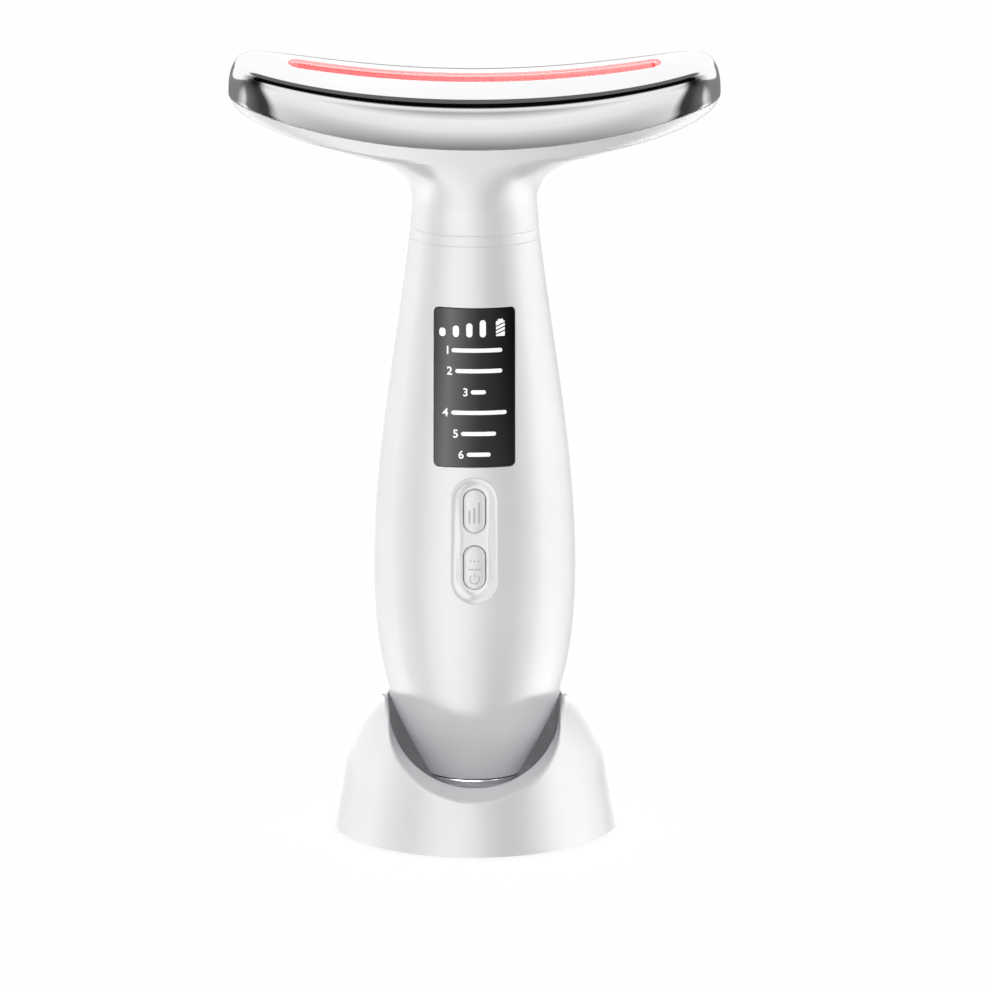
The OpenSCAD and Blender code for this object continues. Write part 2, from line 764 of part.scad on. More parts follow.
module cap_seal() {
    color("dimgray") handset_place() oval_turn() translate([cap_spigot_r + fit / 2, cap_h])
        square([cap_rim - 2 * slack, seal_h]);
}

sink_base = 2;
fin_t = 0.8;
fin_count = 6;
module thermoelectric_module() {
    color("white") handset_place() translate([-module_size[0] / 2, -module_size[1] / 2, stack_z])
        cube(module_size);
}

module thermal_pad() {
    color("lightblue") handset_place()
        translate([-module_size[0] / 2, -module_size[1] / 2, stack_z + module_size[2]])
        cube([module_size[0], module_size[1], pad_t]);
}

module heat_sink() {
    z = stack_z + module_size[2] + pad_t;
    pitch = (sink_size[0] - fin_t) / (fin_count - 1);
    color("silver") handset_place() translate([-sink_size[0] / 2, -sink_size[1] / 2, z]) {
        cube([sink_size[0], sink_size[1], sink_base]);
        for (i = [0 : fin_count - 1]) translate([i * pitch, 0, sink_base - tiny])
            cube([fin_t, sink_size[1], sink_size[2] - sink_base]);
    }
}

// ---- Charging -------------------------------------------------------------

usb_face_y = front_y(usb_z, usb_w / 2) - usb_recess;
usb_board_y = usb_face_y - usb_l;
usb_board_top = cell_z - fit - cradle_t - slack;
usb_wall = 0.3;
tongue_w = 6.6;
tongue_t = 0.7;
module usb_socket() {
    color("silver") handset_place() {
        difference() {
            upright(usb_board_y, usb_face_y) translate([0, usb_z]) rotate(90) pill(usb_h, usb_w);
            upright(usb_board_y + 1, usb_face_y + 1) translate([0, usb_z]) rotate(90)
                pill(usb_h - 2 * usb_wall, usb_w - 2 * usb_wall);
        }
        translate([-tongue_w / 2, usb_board_y + 1 - tiny, usb_z - tongue_t / 2])
            cube([tongue_w, usb_l - 2, tongue_t]);
    }
}

charge_board_w = 14;
module charging_board() {
    color("darkgreen") handset_place()
        translate([-charge_board_w / 2, usb_board_y - board_t, usb_z - charge_board_drop])
            cube([charge_board_w, board_t, usb_board_top - usb_z + charge_board_drop]);
}

module head_leads() {
    z0 = bracket_z + bracket_h + slack;
    color("firebrick") handset_place() for (x = [-lead_x, lead_x], y = [-lead_y, lead_y])
        translate([x, y, z0]) cylinder(r = lead_r, h = crown_z(lead_x) - frame_top - 0.8 - z0);
}

// A round wire through points that follow each other along the axes, with a bend at each corner
wire_r = 0.5;
wire_bend = 1.1;
wire_y = main_board_y + board_t / 2;
function axis(a, b) = (b - a) / norm(b - a);
// Puts children at p with their X, Y and Z along the three directions
module along(p, x, y, z) {
    multmatrix([for (i = [0 : 2]) [x[i], y[i], z[i], p[i]]]) children();
}
module wire(points) {
    last = len(points) - 1;
    for (i = [0 : last - 1]) {
        u = axis(points[i], points[i + 1]);
        a = points[i] + (i > 0 ? wire_bend : 0) * u;
        b = points[i + 1] - (i < last - 1 ? wire_bend : 0) * u;
        v = [u[2], u[0], u[1]];
        along(a, v, cross(u, v), u) cylinder(r = wire_r, h = norm(b - a));
    }
    for (i = [1 : last - 1]) {
        u = axis(points[i - 1], points[i]);
        v = axis(points[i], points[i + 1]);
        along(points[i] - wire_bend * u + wire_bend * v, -v, u, cross(u, v))
            rotate_extrude(angle = 90) translate([wire_bend, 0]) circle(wire_r);
    }
}

module motor_leads() {
    x = 8.9;
    y = -2.5;
    z0 = main_board_z[1];
    z1 = motor_z - 0.7;
    color("firebrick") handset_place() for (side = [-1, 1])
        wire([[side * x, wire_y, z0], [side * x, wire_y, z0 + 2.3], [side * x, y, z0 + 2.3],
            [side * x, y, z1], [side * 3, y, z1]]);
}

module battery_leads() {
    x = 2;
    z = cell_z - 4;
    color("firebrick") handset_place() for (side = [-1, 1])
        wire([[side * x, 0, cell_z - fit], [side * x, 0, z], [side * x, wire_y, z],
            [side * x, wire_y, main_board_z[0]]]);
}

module charge_leads() {
    x = 4.5;
    y = usb_board_y - board_t;
    z = usb_z - 2.4;
    color("firebrick") handset_place() for (side = [-1, 1])
        wire([[side * x, wire_y, main_board_z[0]], [side * x, wire_y, z], [side * x, y, z]]);
}

module cooler_leads() {
    x = 7.2;
    y = -2;
    z0 = stack_z + module_size[2] / 2;
    z1 = usb_z + 3;
    color("firebrick") handset_place() for (side = [-1, 1])
        wire([[side * module_size[0] / 2, y, z0], [side * x, y, z0], [side * x, y, z1],
            [side * x, wire_y, z1], [side * x, wire_y, main_board_z[0]]]);
}

// ---- Stand ----------------------------------------------------------------

stand_r = stand_w / 2;
stand_lift = 0.5;
skirt_z = dome_z + 4.8;
skirt_r = sqrt(pow(dome_r, 2) - pow(skirt_z - dome_z, 2));
dome_steps = 14;
rim_r = handle_r(rim_z - seat_z) + pocket_gap;
stand_boss_r = 2.2;
boss_ring_r = skirt_r - stand_wall - stand_boss_r - 0.25;
stand_screw_r = 0.95;
stand_head_r = 2.1;
plate_z = 1;
base_t = 2;
head_sink = 0.9;
skirt_taper = (stand_r - skirt_r) / (skirt_z - stand_lift);
base_r = stand_r - stand_wall - slack - skirt_taper * (plate_z + base_t);
foot_ring_r = base_r - slack;
foot_ring_w = 2.6;

// The dome on its tapered skirt, drawn in by inset, from z0 up to a flat top at z1
module dome(inset, z0, z1) {
    r = dome_r - inset;
    low = asin((skirt_z - dome_z) / r);
    high = asin((z1 - dome_z) / r);
    rotate_extrude() polygon(concat(
        [[0, z0], [stand_r - inset, z0]],
        [for (i = [0 : dome_steps]) let (turn = low + (high - low) * i / dome_steps)
            [r * cos(turn), dome_z + r * sin(turn)]],
        [[0, z1]]));
}

module pocket(grow) {
    flare = (rim_r - pocket_r) / (rim_z - pocket_z);
    translate([0, 0, pocket_z - grow])
        cylinder(r1 = pocket_r + grow, r2 = rim_r + grow + flare, h = rim_z - pocket_z + grow + 1);
}

// The front scoop: a trough with an elliptical bottom that runs from the pocket out through the dome
module scoop(grow) {
    depth = scoop_side_z - scoop_z + grow;
    r = scoop_r + grow;
    upright(-2 * stand_r, 0) polygon(concat([[-r, rim_z + 9], [r, rim_z + 9]],
        [for (i = [0 : 32]) [r * cos(180 * i / 32), scoop_side_z - depth * sin(180 * i / 32)]]));
}

module stand_bosses(r, z0, z1) {
    for (turn = [90, 210, 330]) rotate(turn) translate([boss_ring_r, 0, z0]) cylinder(r = r, h = z1 - z0);
}

module stand_shell() {
    color("white") difference() {
        dome(0, stand_lift, rim_z);
        difference() {
            dome(stand_wall, stand_lift - 1, rim_z - stand_wall);
            pocket(stand_wall);
            scoop(stand_wall);
            stand_bosses(stand_boss_r, plate_z + base_t, rim_z);
        }
        pocket(0);
        scoop(0);
        translate([0, 0, seat_z]) cylinder(r = foot_r + slack, h = 5);
        stand_bosses(stand_screw_r, 0, 11);
    }
}

module stand_base_plate() {
    color("gainsboro") difference() {
        translate([0, 0, plate_z]) cylinder(r = base_r, h = base_t);
        stand_bosses(stand_screw_r + 0.25, 0, rim_z);
        stand_bosses(stand_head_r + slack, 0, plate_z + head_sink);
    }
}

module stand_ballast() {
    z = plate_z + base_t;
    outer = skirt_r - stand_wall - 1.6;
    color("dimgray") difference() {
        translate([0, 0, z]) cylinder(r = outer, h = scoop_z - stand_wall - slack - z);
        pocket(stand_wall + slack);
        stand_bosses(stand_boss_r + slack, 0, rim_z);
    }
}

module stand_foot_ring() {
    color("dimgray") difference() {
        cylinder(r = foot_ring_r, h = plate_z);
        translate([0, 0, -1]) cylinder(r = foot_ring_r - foot_ring_w, h = plate_z + 2);
        stand_bosses(stand_head_r + slack + fit, -1, plate_z + 1);
    }
}

module stand_screws() {
    color("silver") {
        stand_bosses(stand_screw_r, plate_z + head_sink / 2, 9);
        stand_bosses(stand_head_r, plate_z + fit, plate_z + head_sink);
    }
}

stand_shell();
stand_base_plate();
stand_ballast();
stand_foot_ring();
stand_screws();
head_plate();
led_diffuser();
led_board();
led_chips();
head_frame();
electrode_pins();
head_housing();
neck_collar();
front_shell();
rear_shell();
display_window();
display_light_guide();
display_board();
button_surround();
level_button();
mode_button();
level_switch();
mode_switch();
main_board();
board_screws();
battery_cell();
battery_cradle();
vibration_motor();
motor_bracket();
motor_shaft();
eccentric_weight();
cooling_cap();
cap_seal();
thermoelectric_module();
thermal_pad();
heat_sink();
charging_board();
usb_socket();
head_leads();
display_lamps();
display_ribbon();
board_chips();
motor_leads();
battery_leads();
charge_leads();
cooler_leads();
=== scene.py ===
"""Facial toning device: a T-headed handset seated in its desk stand.

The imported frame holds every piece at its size. This script gives each one its finish, and makes the
smooth outer skins, the printed marks and the studio. Lengths are written in millimetres and turned
to metres when a mesh is made. +Z is up and the display faces -Y.
"""

import json
import math

import bpy
import numpy as np
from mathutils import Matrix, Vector
from mathutils.geometry import delaunay_2d_cdt

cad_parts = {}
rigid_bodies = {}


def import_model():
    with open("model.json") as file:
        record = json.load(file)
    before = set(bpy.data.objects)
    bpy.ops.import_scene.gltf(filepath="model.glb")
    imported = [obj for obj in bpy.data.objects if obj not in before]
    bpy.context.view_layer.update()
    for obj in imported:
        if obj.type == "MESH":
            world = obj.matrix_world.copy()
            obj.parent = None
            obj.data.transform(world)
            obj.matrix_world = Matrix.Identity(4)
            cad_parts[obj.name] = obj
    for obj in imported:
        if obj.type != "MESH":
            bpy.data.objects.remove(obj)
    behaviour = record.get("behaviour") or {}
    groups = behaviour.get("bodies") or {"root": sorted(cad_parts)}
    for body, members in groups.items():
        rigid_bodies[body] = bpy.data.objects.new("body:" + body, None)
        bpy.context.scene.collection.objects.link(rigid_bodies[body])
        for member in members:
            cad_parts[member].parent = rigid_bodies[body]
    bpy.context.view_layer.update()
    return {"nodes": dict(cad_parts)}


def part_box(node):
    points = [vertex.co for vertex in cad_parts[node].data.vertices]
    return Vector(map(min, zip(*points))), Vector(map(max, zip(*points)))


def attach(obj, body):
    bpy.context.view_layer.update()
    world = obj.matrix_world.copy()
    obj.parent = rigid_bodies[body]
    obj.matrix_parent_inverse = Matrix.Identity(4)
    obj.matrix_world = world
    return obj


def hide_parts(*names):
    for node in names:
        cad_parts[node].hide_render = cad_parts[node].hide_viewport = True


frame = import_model()
nodes = frame["nodes"]
scene = bpy.context.scene
MM = 0.001


# ---- Sizes of the handset, in millimetres above its foot ------------------

SEAT_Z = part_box("cooling_cap")[0].z / MM

HEAD_W, HEAD_D = 95.0, 27.4
EDGE_Z, EDGE_RISE, CROWN_RISE = 130.5, 8.0, 5.4
PLATE_H, PLATE_T, SHOULDER_R, CROWN_DROP = 11.0, 1.2, 2.0, 1.2
SLOT_L, SLOT_W = 72.0, 2.6
DOME_HALF_W, DOME_H = 2.0, 1.1
HEAD_WALL = 2.0

BELLY_R, BELLY_Z = 19.9, 45.0
FOOT_R, NECK_R = 8.8, 12.7
DEPTH_RATIO = 0.76
WALL = 2.0
CAP_H, SHELL_Z, SHELL_TOP, COLLAR_TOP = 2.6, 2.9, 110.3, 112.3

WINDOW_W, WINDOW_H, WINDOW_Z, WINDOW_R = 15.9, 31.0, 82.9, 1.0
DISH_W, DISH_H, DISH_Z, DISH_DEEP = 9.1, 25.1, 52.9, 1.5
BUTTON_W, BUTTON_H, BUTTON_PITCH = 4.2, 8.6, 11.3
BUTTON_PROUD, BUTTON_GAP = 0.7, 0.15
FIT = 0.1
WINDOW_SUNK = 0.03
MARK_PROUD, MARK_SUNK = 0.015, 0.06


def curve(p, t):
    """Points at the shares t of a cubic curve through four control points."""
    p = np.asarray(p, float)
    t = np.asarray(t, float)[:, None]
    return (1 - t) ** 3 * p[0] + 3 * t * (1 - t) ** 2 * p[1] + 3 * t * t * (1 - t) * p[2] + t**3 * p[3]


def curve_dir(p, t):
    """Unit directions at the shares t of that curve."""
    p = np.asarray(p, float)
    t = np.asarray(t, float)[:, None]
    d = (1 - t) ** 2 * (p[1] - p[0]) + 2 * t * (1 - t) * (p[2] - p[1]) + t * t * (p[3] - p[2])
    return d / np.linalg.norm(d, axis=1)[:, None]


# Half the handle's outline: a full curve up to the belly, then a long taper to the collar
TAPER_RUN = (COLLAR_TOP - BELLY_Z) / 3
FOOT_CURVE = [(FOOT_R, CAP_H), (FOOT_R + 6.5, CAP_H + 12), (BELLY_R, BELLY_Z - 24), (BELLY_R, BELLY_Z)]
TAPER_CURVE = [
    (BELLY_R, BELLY_Z),
    (BELLY_R, BELLY_Z + TAPER_RUN),
    (NECK_R + 0.11 * TAPER_RUN, COLLAR_TOP - TAPER_RUN),
    (NECK_R, COLLAR_TOP),
]
OUTLINE = np.vstack([
    curve(FOOT_CURVE, np.linspace(0, 1, 400)[:-1]),
    curve(TAPER_CURVE, np.linspace(0, 1, 400)),
])


def handle_r(z):
    """Half width of the handle at the height z."""
    return np.interp(z, OUTLINE[:, 1], OUTLINE[:, 0])


def front_y(z, x=0.0):
    """Depth of the handle's surface in front of its axis."""
    r = handle_r(z)
    return DEPTH_RATIO * r * np.sqrt(np.maximum(1 - (x / r) ** 2, 0))


# ---- Materials ------------------------------------------------------------


def linear(code):
    """An sRGB hex colour as the linear colour that the shaders take."""
    parts = [int(code[i : i + 2], 16) / 255 for i in (0, 2, 4)]
    return [c / 12.92 if c <= 0.04045 else ((c + 0.055) / 1.055) ** 2.4 for c in parts] + [1.0]


def add(tree, kind, inputs=None, stops=(), **settings):
    """Adds a node. inputs maps a socket to a value, or to the node or the output that feeds it.
    stops are a ramp's pairs of a place and an sRGB hex colour, or of a place and a plain level."""
    node = tree.nodes.new("ShaderNode" + kind)
    for key, value in settings.items():
        setattr(node, key, value)
    for key, value in (inputs or {}).items():
        if isinstance(value, bpy.types.Node):
            value = value.outputs[0]
        if isinstance(value, bpy.types.NodeSocket):
            tree.links.new(value, node.inputs[key])
        else:
            node.inputs[key].default_value = value
    if stops:
        elements = node.color_ramp.elements
        for _ in stops[2:]:
            elements.new(0.5)
        for element, (place, tone) in zip(elements, stops):
            element.position = place
            element.color = linear(tone) if isinstance(tone, str) else (tone, tone, tone, 1)
    return node


def blank_tree(owner):
    """The emptied node tree of a material or a world."""
    owner.use_nodes = True
    owner.node_tree.nodes.clear()
    return owner.node_tree


def linked(name, data):
    """A new object of the scene that holds data."""
    made = bpy.data.objects.new(name, data)
    scene.collection.objects.link(made)
    return made


def grain(tree, size_mm, detail=3.0, stretch=(1, 1, 1)):
    """Noise whose features are size_mm across, stretched along an axis by a share under 1."""
    place = add(tree, "TexCoord").outputs["Object"]
    scaled = add(tree, "Mapping", {"Vector": place, "Scale": stretch})
    return add(tree, "TexNoise", {"Vector": scaled, "Scale": 1 / (size_mm * MM), "Detail": detail})


def material(name, build):
    """A material whose Principled shader's sockets build(tree) gives."""
    made = bpy.data.materials.new(name)
    tree = blank_tree(made)
    shader = add(tree, "BsdfPrincipled", build(tree))
    add(tree, "OutputMaterial", {"Surface": shader})
    return made


def white_abs(tree):
    # Injection-moulded gloss ABS: a clean cool white, a deep even shine, and the faint waviness and
    # rub haze of a moulded skin
    haze = grain(tree, 14)
    return {
        "Base Color": add(tree, "ValToRGB", {"Fac": haze}, stops=((0.3, "e4e4e6"), (0.7, "e8e8ea"))),
        "Roughness": add(tree, "MapRange", {"Value": haze, "To Min": 0.16, "To Max": 0.24}),
        "IOR": 1.54,
        "Normal": add(tree, "Bump", {"Height": grain(tree, 6, 1), "Distance": 0.002 * MM}),
    }


def stand_abs(tree):
    # The stand's ABS has a slightly softer shine than the handset's
    haze = grain(tree, 18)
    return {
        "Base Color": add(tree, "ValToRGB", {"Fac": haze}, stops=((0.3, "e1e1e3"), (0.7, "e5e5e7"))),
        "Roughness": add(tree, "MapRange", {"Value": haze, "To Min": 0.19, "To Max": 0.26}),
        "IOR": 1.54,
        "Normal": add(tree, "Bump", {"Height": grain(tree, 6, 1), "Distance": 0.002 * MM}),
    }


def button_abs(tree):
    # Satin ABS caps, a shade greyer than the housing, fine spark texture
    fine = grain(tree, 0.5, 2)
    return {
        "Base Color": add(
            tree, "ValToRGB", {"Fac": grain(tree, 3)}, stops=((0.3, "dededf"), (0.7, "e4e4e5"))
        ),
        "Roughness": add(tree, "MapRange", {"Value": fine, "To Min": 0.28, "To Max": 0.38}),
        "IOR": 1.54,
        "Normal": add(tree, "Bump", {"Height": fine, "Distance": 0.002 * MM}),
    }


def grey_abs(tree):
    # Satin grey ABS of frames and cradles, with a light moulded grain
    fine = grain(tree, 0.7, 3)
    return {
        "Base Color": add(
            tree, "ValToRGB", {"Fac": grain(tree, 6)}, stops=((0.3, "b4b6ba"), (0.7, "bec0c4"))
        ),
        "Roughness": add(tree, "MapRange", {"Value": fine, "To Min": 0.42, "To Max": 0.56}),
        "Normal": add(tree, "Bump", {"Height": fine, "Distance": 0.01 * MM}),
    }


def chrome(tree):
    # Chrome plating over ABS: near-perfect mirror, slightly cool, softened by polishing haze
    polish = grain(tree, 0.9, 4, (0.12, 1, 1))
    return {
        "Base Color": add(
            tree, "ValToRGB", {"Fac": grain(tree, 20)}, stops=((0.3, "ececee"), (0.7, "f2f2f3"))
        ),
        "Metallic": 1.0,
        "Roughness": add(tree, "MapRange", {"Value": polish, "To Min": 0.05, "To Max": 0.1}),
        "Normal": add(tree, "Bump", {"Height": grain(tree, 8, 1), "Distance": 0.0015 * MM}),
    }


def steel_foot(tree):
    # Turned and polished stainless foot that touches the skin, with fine rings of the lathe
    rings = grain(tree, 0.35, 2, (0.05, 0.05, 1))
    return {
        "Base Color": add(tree, "ValToRGB", {"Fac": rings}, stops=((0.3, "c9cacc"), (0.7, "d6d7d9"))),
        "Metallic": 1.0,
        "Roughness": add(tree, "MapRange", {"Value": rings, "To Min": 0.12, "To Max": 0.22}),
        "Normal": add(tree, "Bump", {"Height": rings, "Distance": 0.003 * MM}),
    }


def lit_bar(tree):
    # Milky polycarbonate lit from beneath by red lamps: coral, a little deeper toward its edges
    place = add(tree, "TexCoord").outputs["Object"]
    y = add(tree, "SeparateXYZ", {"Vector": place}).outputs["Y"]
    side = add(tree, "Math", {0: y}, operation="ABSOLUTE")
    across = add(tree, "MapRange", {"Value": side, "From Max": DOME_HALF_W * MM})
    return {
        "Base Color": add(
            tree, "ValToRGB", {"Fac": grain(tree, 3)}, stops=((0.3, "d63a3c"), (0.7, "dc4446"))
        ),
        "Roughness": 0.22,
        "IOR": 1.58,
        "Emission Color": add(
            tree, "ValToRGB", {"Fac": across}, stops=((0.0, "f46460"), (0.6, "f25c58"), (1.0, "ea504e"))
        ),
        "Emission Strength": 0.75,
    }


def window_glass(tree):
    # Back-painted black acrylic: black all through under a hard clear gloss with hairline wipe marks
    wipe = grain(tree, 0.25, 2, (1, 1, 0.04))
    return {
        "Base Color": add(
            tree, "ValToRGB", {"Fac": grain(tree, 9)}, stops=((0.3, "050506"), (0.7, "0a0a0b"))
        ),
        "Roughness": add(tree, "MapRange", {"Value": wipe, "To Min": 0.05, "To Max": 0.1}),
        "IOR": 1.49,
        "Normal": add(tree, "Bump", {"Height": wipe, "Distance": 0.0006 * MM}),
    }


def lit_mark(tree):
    # White marks lit from behind through the window's print
    return {
        "Base Color": add(
            tree, "ValToRGB", {"Fac": grain(tree, 1.2)}, stops=((0.3, "ececec"), (0.7, "f6f6f6"))
        ),
        "Roughness": 0.5,
        "Emission Color": add(
            tree, "ValToRGB", {"Fac": grain(tree, 2.5)}, stops=((0.3, "eeeeee"), (0.7, "ffffff"))
        ),
        "Emission Strength": 0.25,
    }


def grey_print(tree):
    # Pad-printed grey ink on the button caps, with slightly uneven cover
    return {
        "Base Color": add(
            tree, "ValToRGB", {"Fac": grain(tree, 0.3, 4)}, stops=((0.3, "a2a3a6"), (0.7, "b2b3b6"))
        ),
        "Roughness": 0.55,
    }


def rubber(tree):
    # Soft matt thermoplastic rubber with a fine dry grain
    fine = grain(tree, 0.5, 5)
    return {
        "Base Color": add(tree, "ValToRGB", {"Fac": fine}, stops=((0.3, "262628"), (0.7, "323234"))),
        "Roughness": add(tree, "MapRange", {"Value": fine, "To Min": 0.75, "To Max": 0.9}),
        "Normal": add(tree, "Bump", {"Height": fine, "Distance": 0.02 * MM}),
    }


def black_nylon(tree):
    # Glass-filled nylon of the switches and the light guide: near black with pale fibre flecks
    fleck = grain(tree, 0.3, 5, (0.3, 1, 1))
    return {
        "Base Color": add(tree, "ValToRGB", {"Fac": fleck}, stops=((0.45, "1a1a1c"), (0.75, "2e2e31"))),
        "Roughness": add(tree, "MapRange", {"Value": fleck, "To Min": 0.45, "To Max": 0.62}),
        "Normal": add(tree, "Bump", {"Height": fleck, "Distance": 0.006 * MM}),
    }


def circuit_board(tree):
    # Glass-epoxy board under green solder mask, with the copper runs showing as lighter raised lines
    place = add(tree, "TexCoord").outputs["Object"]
    runs = add(tree, "TexBrick", {
        "Vector": place, "Scale": 1 / (3 * MM), "Mortar Size": 0.06, "Mortar Smooth": 0.3,
        "Color1": linear("0c3f24"), "Color2": linear("0e4829"), "Mortar": linear("23744a"),
    })
    return {
        "Base Color": runs.outputs["Color"],
        "Roughness": add(tree, "MapRange", {"Value": grain(tree, 0.6), "To Min": 0.3, "To Max": 0.42}),
        "Normal": add(tree, "Bump", {"Height": runs.outputs["Fac"], "Distance": 0.03 * MM}),
    }


def white_board(tree):
    # White solder mask of the lamp strip, slightly uneven, with a soft sheen
    return {
        "Base Color": add(
            tree, "ValToRGB", {"Fac": grain(tree, 1.5, 4)}, stops=((0.3, "e9e9e4"), (0.7, "f2f2ee"))
        ),
        "Roughness": add(tree, "MapRange", {"Value": grain(tree, 0.8), "To Min": 0.32, "To Max": 0.42}),
        "Normal": add(tree, "Bump", {"Height": grain(tree, 0.4), "Distance": 0.004 * MM}),
    }


def lamp_package(tree):
    # Lamp chips: cream package with the deep yellow phosphor dome's mottling
    return {
        "Base Color": add(
            tree, "ValToRGB", {"Fac": grain(tree, 0.5, 5)}, stops=((0.35, "e8d27a"), (0.65, "f4e9b8"))
        ),
        "Roughness": add(tree, "MapRange", {"Value": grain(tree, 0.3), "To Min": 0.25, "To Max": 0.4}),
        "Normal": add(tree, "Bump", {"Height": grain(tree, 0.3), "Distance": 0.006 * MM}),
    }


def plain_steel(tree):
    # Zinc-plated and drawn steel of screws, motor can and shaft, with fine drawing lines
    lines = grain(tree, 0.25, 3, (1, 1, 0.06))
    return {
        "Base Color": add(tree, "ValToRGB", {"Fac": lines}, stops=((0.3, "a3a6aa"), (0.7, "b4b7bb"))),
        "Metallic": 1.0,
        "Roughness": add(tree, "MapRange", {"Value": lines, "To Min": 0.24, "To Max": 0.4}),
        "Normal": add(tree, "Bump", {"Height": lines, "Distance": 0.003 * MM}),
    }


def aluminium(tree):
    # Extruded aluminium of the heat sink, matt with straight die lines
    lines = grain(tree, 0.3, 3, (1, 0.05, 1))
    return {
        "Base Color": add(tree, "ValToRGB", {"Fac": lines}, stops=((0.3, "c4c7cb"), (0.7, "d2d5d9"))),
        "Metallic": 1.0,
        "Roughness": add(tree, "MapRange", {"Value": lines, "To Min": 0.34, "To Max": 0.5}),
        "Normal": add(tree, "Bump", {"Height": lines, "Distance": 0.008 * MM}),
    }


def cast_iron(tree):
    # Sand-cast iron: dark, dull and pitted
    pits = grain(tree, 0.8, 6)
    return {
        "Base Color": add(tree, "ValToRGB", {"Fac": pits}, stops=((0.3, "3c3c3e"), (0.7, "56565a"))),
        "Metallic": 1.0,
        "Roughness": add(tree, "MapRange", {"Value": pits, "To Min": 0.6, "To Max": 0.85}),
        "Normal": add(tree, "Bump", {"Height": pits, "Distance": 0.08 * MM}),
    }


def gold_plate(tree):
    # Gold flash over brass contact pins, bright with slight tarnish toward brown
    return {
        "Base Color": add(
            tree, "ValToRGB", {"Fac": grain(tree, 0.6, 4)}, stops=((0.35, "c79a3c"), (0.65, "e0bb62"))
        ),
        "Metallic": 1.0,
        "Roughness": add(tree, "MapRange", {"Value": grain(tree, 0.3), "To Min": 0.18, "To Max": 0.32}),
    }


def cell_sleeve(tree):
    # Blue shrink sleeve over the steel can: glossy, with the light ripples of shrinking
    ripple = grain(tree, 2.5, 3, (1, 1, 0.3))
    return {
        "Base Color": add(tree, "ValToRGB", {"Fac": ripple}, stops=((0.3, "25549b"), (0.7, "2f62ae"))),
        "Roughness": add(tree, "MapRange", {"Value": ripple, "To Min": 0.2, "To Max": 0.34}),
        "IOR": 1.52,
        "Normal": add(tree, "Bump", {"Height": ripple, "Distance": 0.03 * MM}),
    }


def thermal_gum(tree):
    # Filled silicone pad: soft, grey-blue, matt and slightly dimpled
    dimple = grain(tree, 0.5, 3)
    return {
        "Base Color": add(tree, "ValToRGB", {"Fac": dimple}, stops=((0.3, "93a9b8"), (0.7, "a3b8c6"))),
        "Roughness": add(tree, "MapRange", {"Value": dimple, "To Min": 0.6, "To Max": 0.75}),
        "Normal": add(tree, "Bump", {"Height": dimple, "Distance": 0.03 * MM}),
    }


def alumina(tree):
    # Fired alumina of the cooling module: chalk white with a dry, sandy touch
    sand = grain(tree, 0.2, 5)
    return {
        "Base Color": add(tree, "ValToRGB", {"Fac": sand}, stops=((0.3, "e6e5de"), (0.7, "f1f0ea"))),
        "Roughness": add(tree, "MapRange", {"Value": sand, "To Min": 0.55, "To Max": 0.7}),
        "Normal": add(tree, "Bump", {"Height": sand, "Distance": 0.008 * MM}),
    }


def red_sleeve(tree):
    # Silicone-sleeved leads: dull red with a faint lengthwise drag
    drag = grain(tree, 0.4, 3, (1, 1, 0.08))
    return {
        "Base Color": add(tree, "ValToRGB", {"Fac": drag}, stops=((0.3, "a01c18"), (0.7, "b42a24"))),
        "Roughness": add(tree, "MapRange", {"Value": drag, "To Min": 0.45, "To Max": 0.6}),
        "Normal": add(tree, "Bump", {"Height": drag, "Distance": 0.01 * MM}),
    }


def amber_film(tree):
    # Polyimide film of the display's ribbon: clear amber over copper tracks that run its length
    place = add(tree, "TexCoord").outputs["Object"]
    across = add(tree, "SeparateXYZ", {"Vector": place}).outputs["X"]
    pitch = add(tree, "Math", {0: across, 1: 1 / (1.0 * MM)}, operation="MULTIPLY")
    track = add(tree, "Math", {0: pitch, 1: 1.0}, operation="PINGPONG")
    return {
        "Base Color": add(tree, "ValToRGB", {"Fac": track}, stops=((0.35, "8a4f14"), (0.6, "b9752a"))),
        "Roughness": add(tree, "MapRange", {"Value": grain(tree, 0.6), "To Min": 0.2, "To Max": 0.34}),
        "Normal": add(tree, "Bump", {"Height": track, "Distance": 0.01 * MM}),
    }


FINISHES = {
    "gloss_white_abs": white_abs,
    "stand_white_abs": stand_abs,
    "satin_button_abs": button_abs,
    "satin_grey_abs": grey_abs,
    "chrome_plating": chrome,
    "polished_steel_foot": steel_foot,
    "milky_light_bar": lit_bar,
    "black_acrylic_window": window_glass,
    "backlit_white_mark": lit_mark,
    "grey_pad_print": grey_print,
    "soft_rubber": rubber,
    "black_filled_nylon": black_nylon,
    "green_masked_board": circuit_board,
    "white_masked_board": white_board,
    "phosphor_lamp": lamp_package,
    "drawn_steel": plain_steel,
    "extruded_aluminium": aluminium,
    "cast_iron": cast_iron,
    "gold_flash": gold_plate,
    "blue_cell_sleeve": cell_sleeve,
    "thermal_gum": thermal_gum,
    "fired_alumina": alumina,
    "red_silicone_sleeve": red_sleeve,
    "amber_film": amber_film,
}
finish = {name: material(name, build) for name, build in FINISHES.items()}


# ---- Mesh making ----------------------------------------------------------


# Faces that meet at more than this angle keep a sharp edge between them
SHARP_ANGLE = math.radians(38)


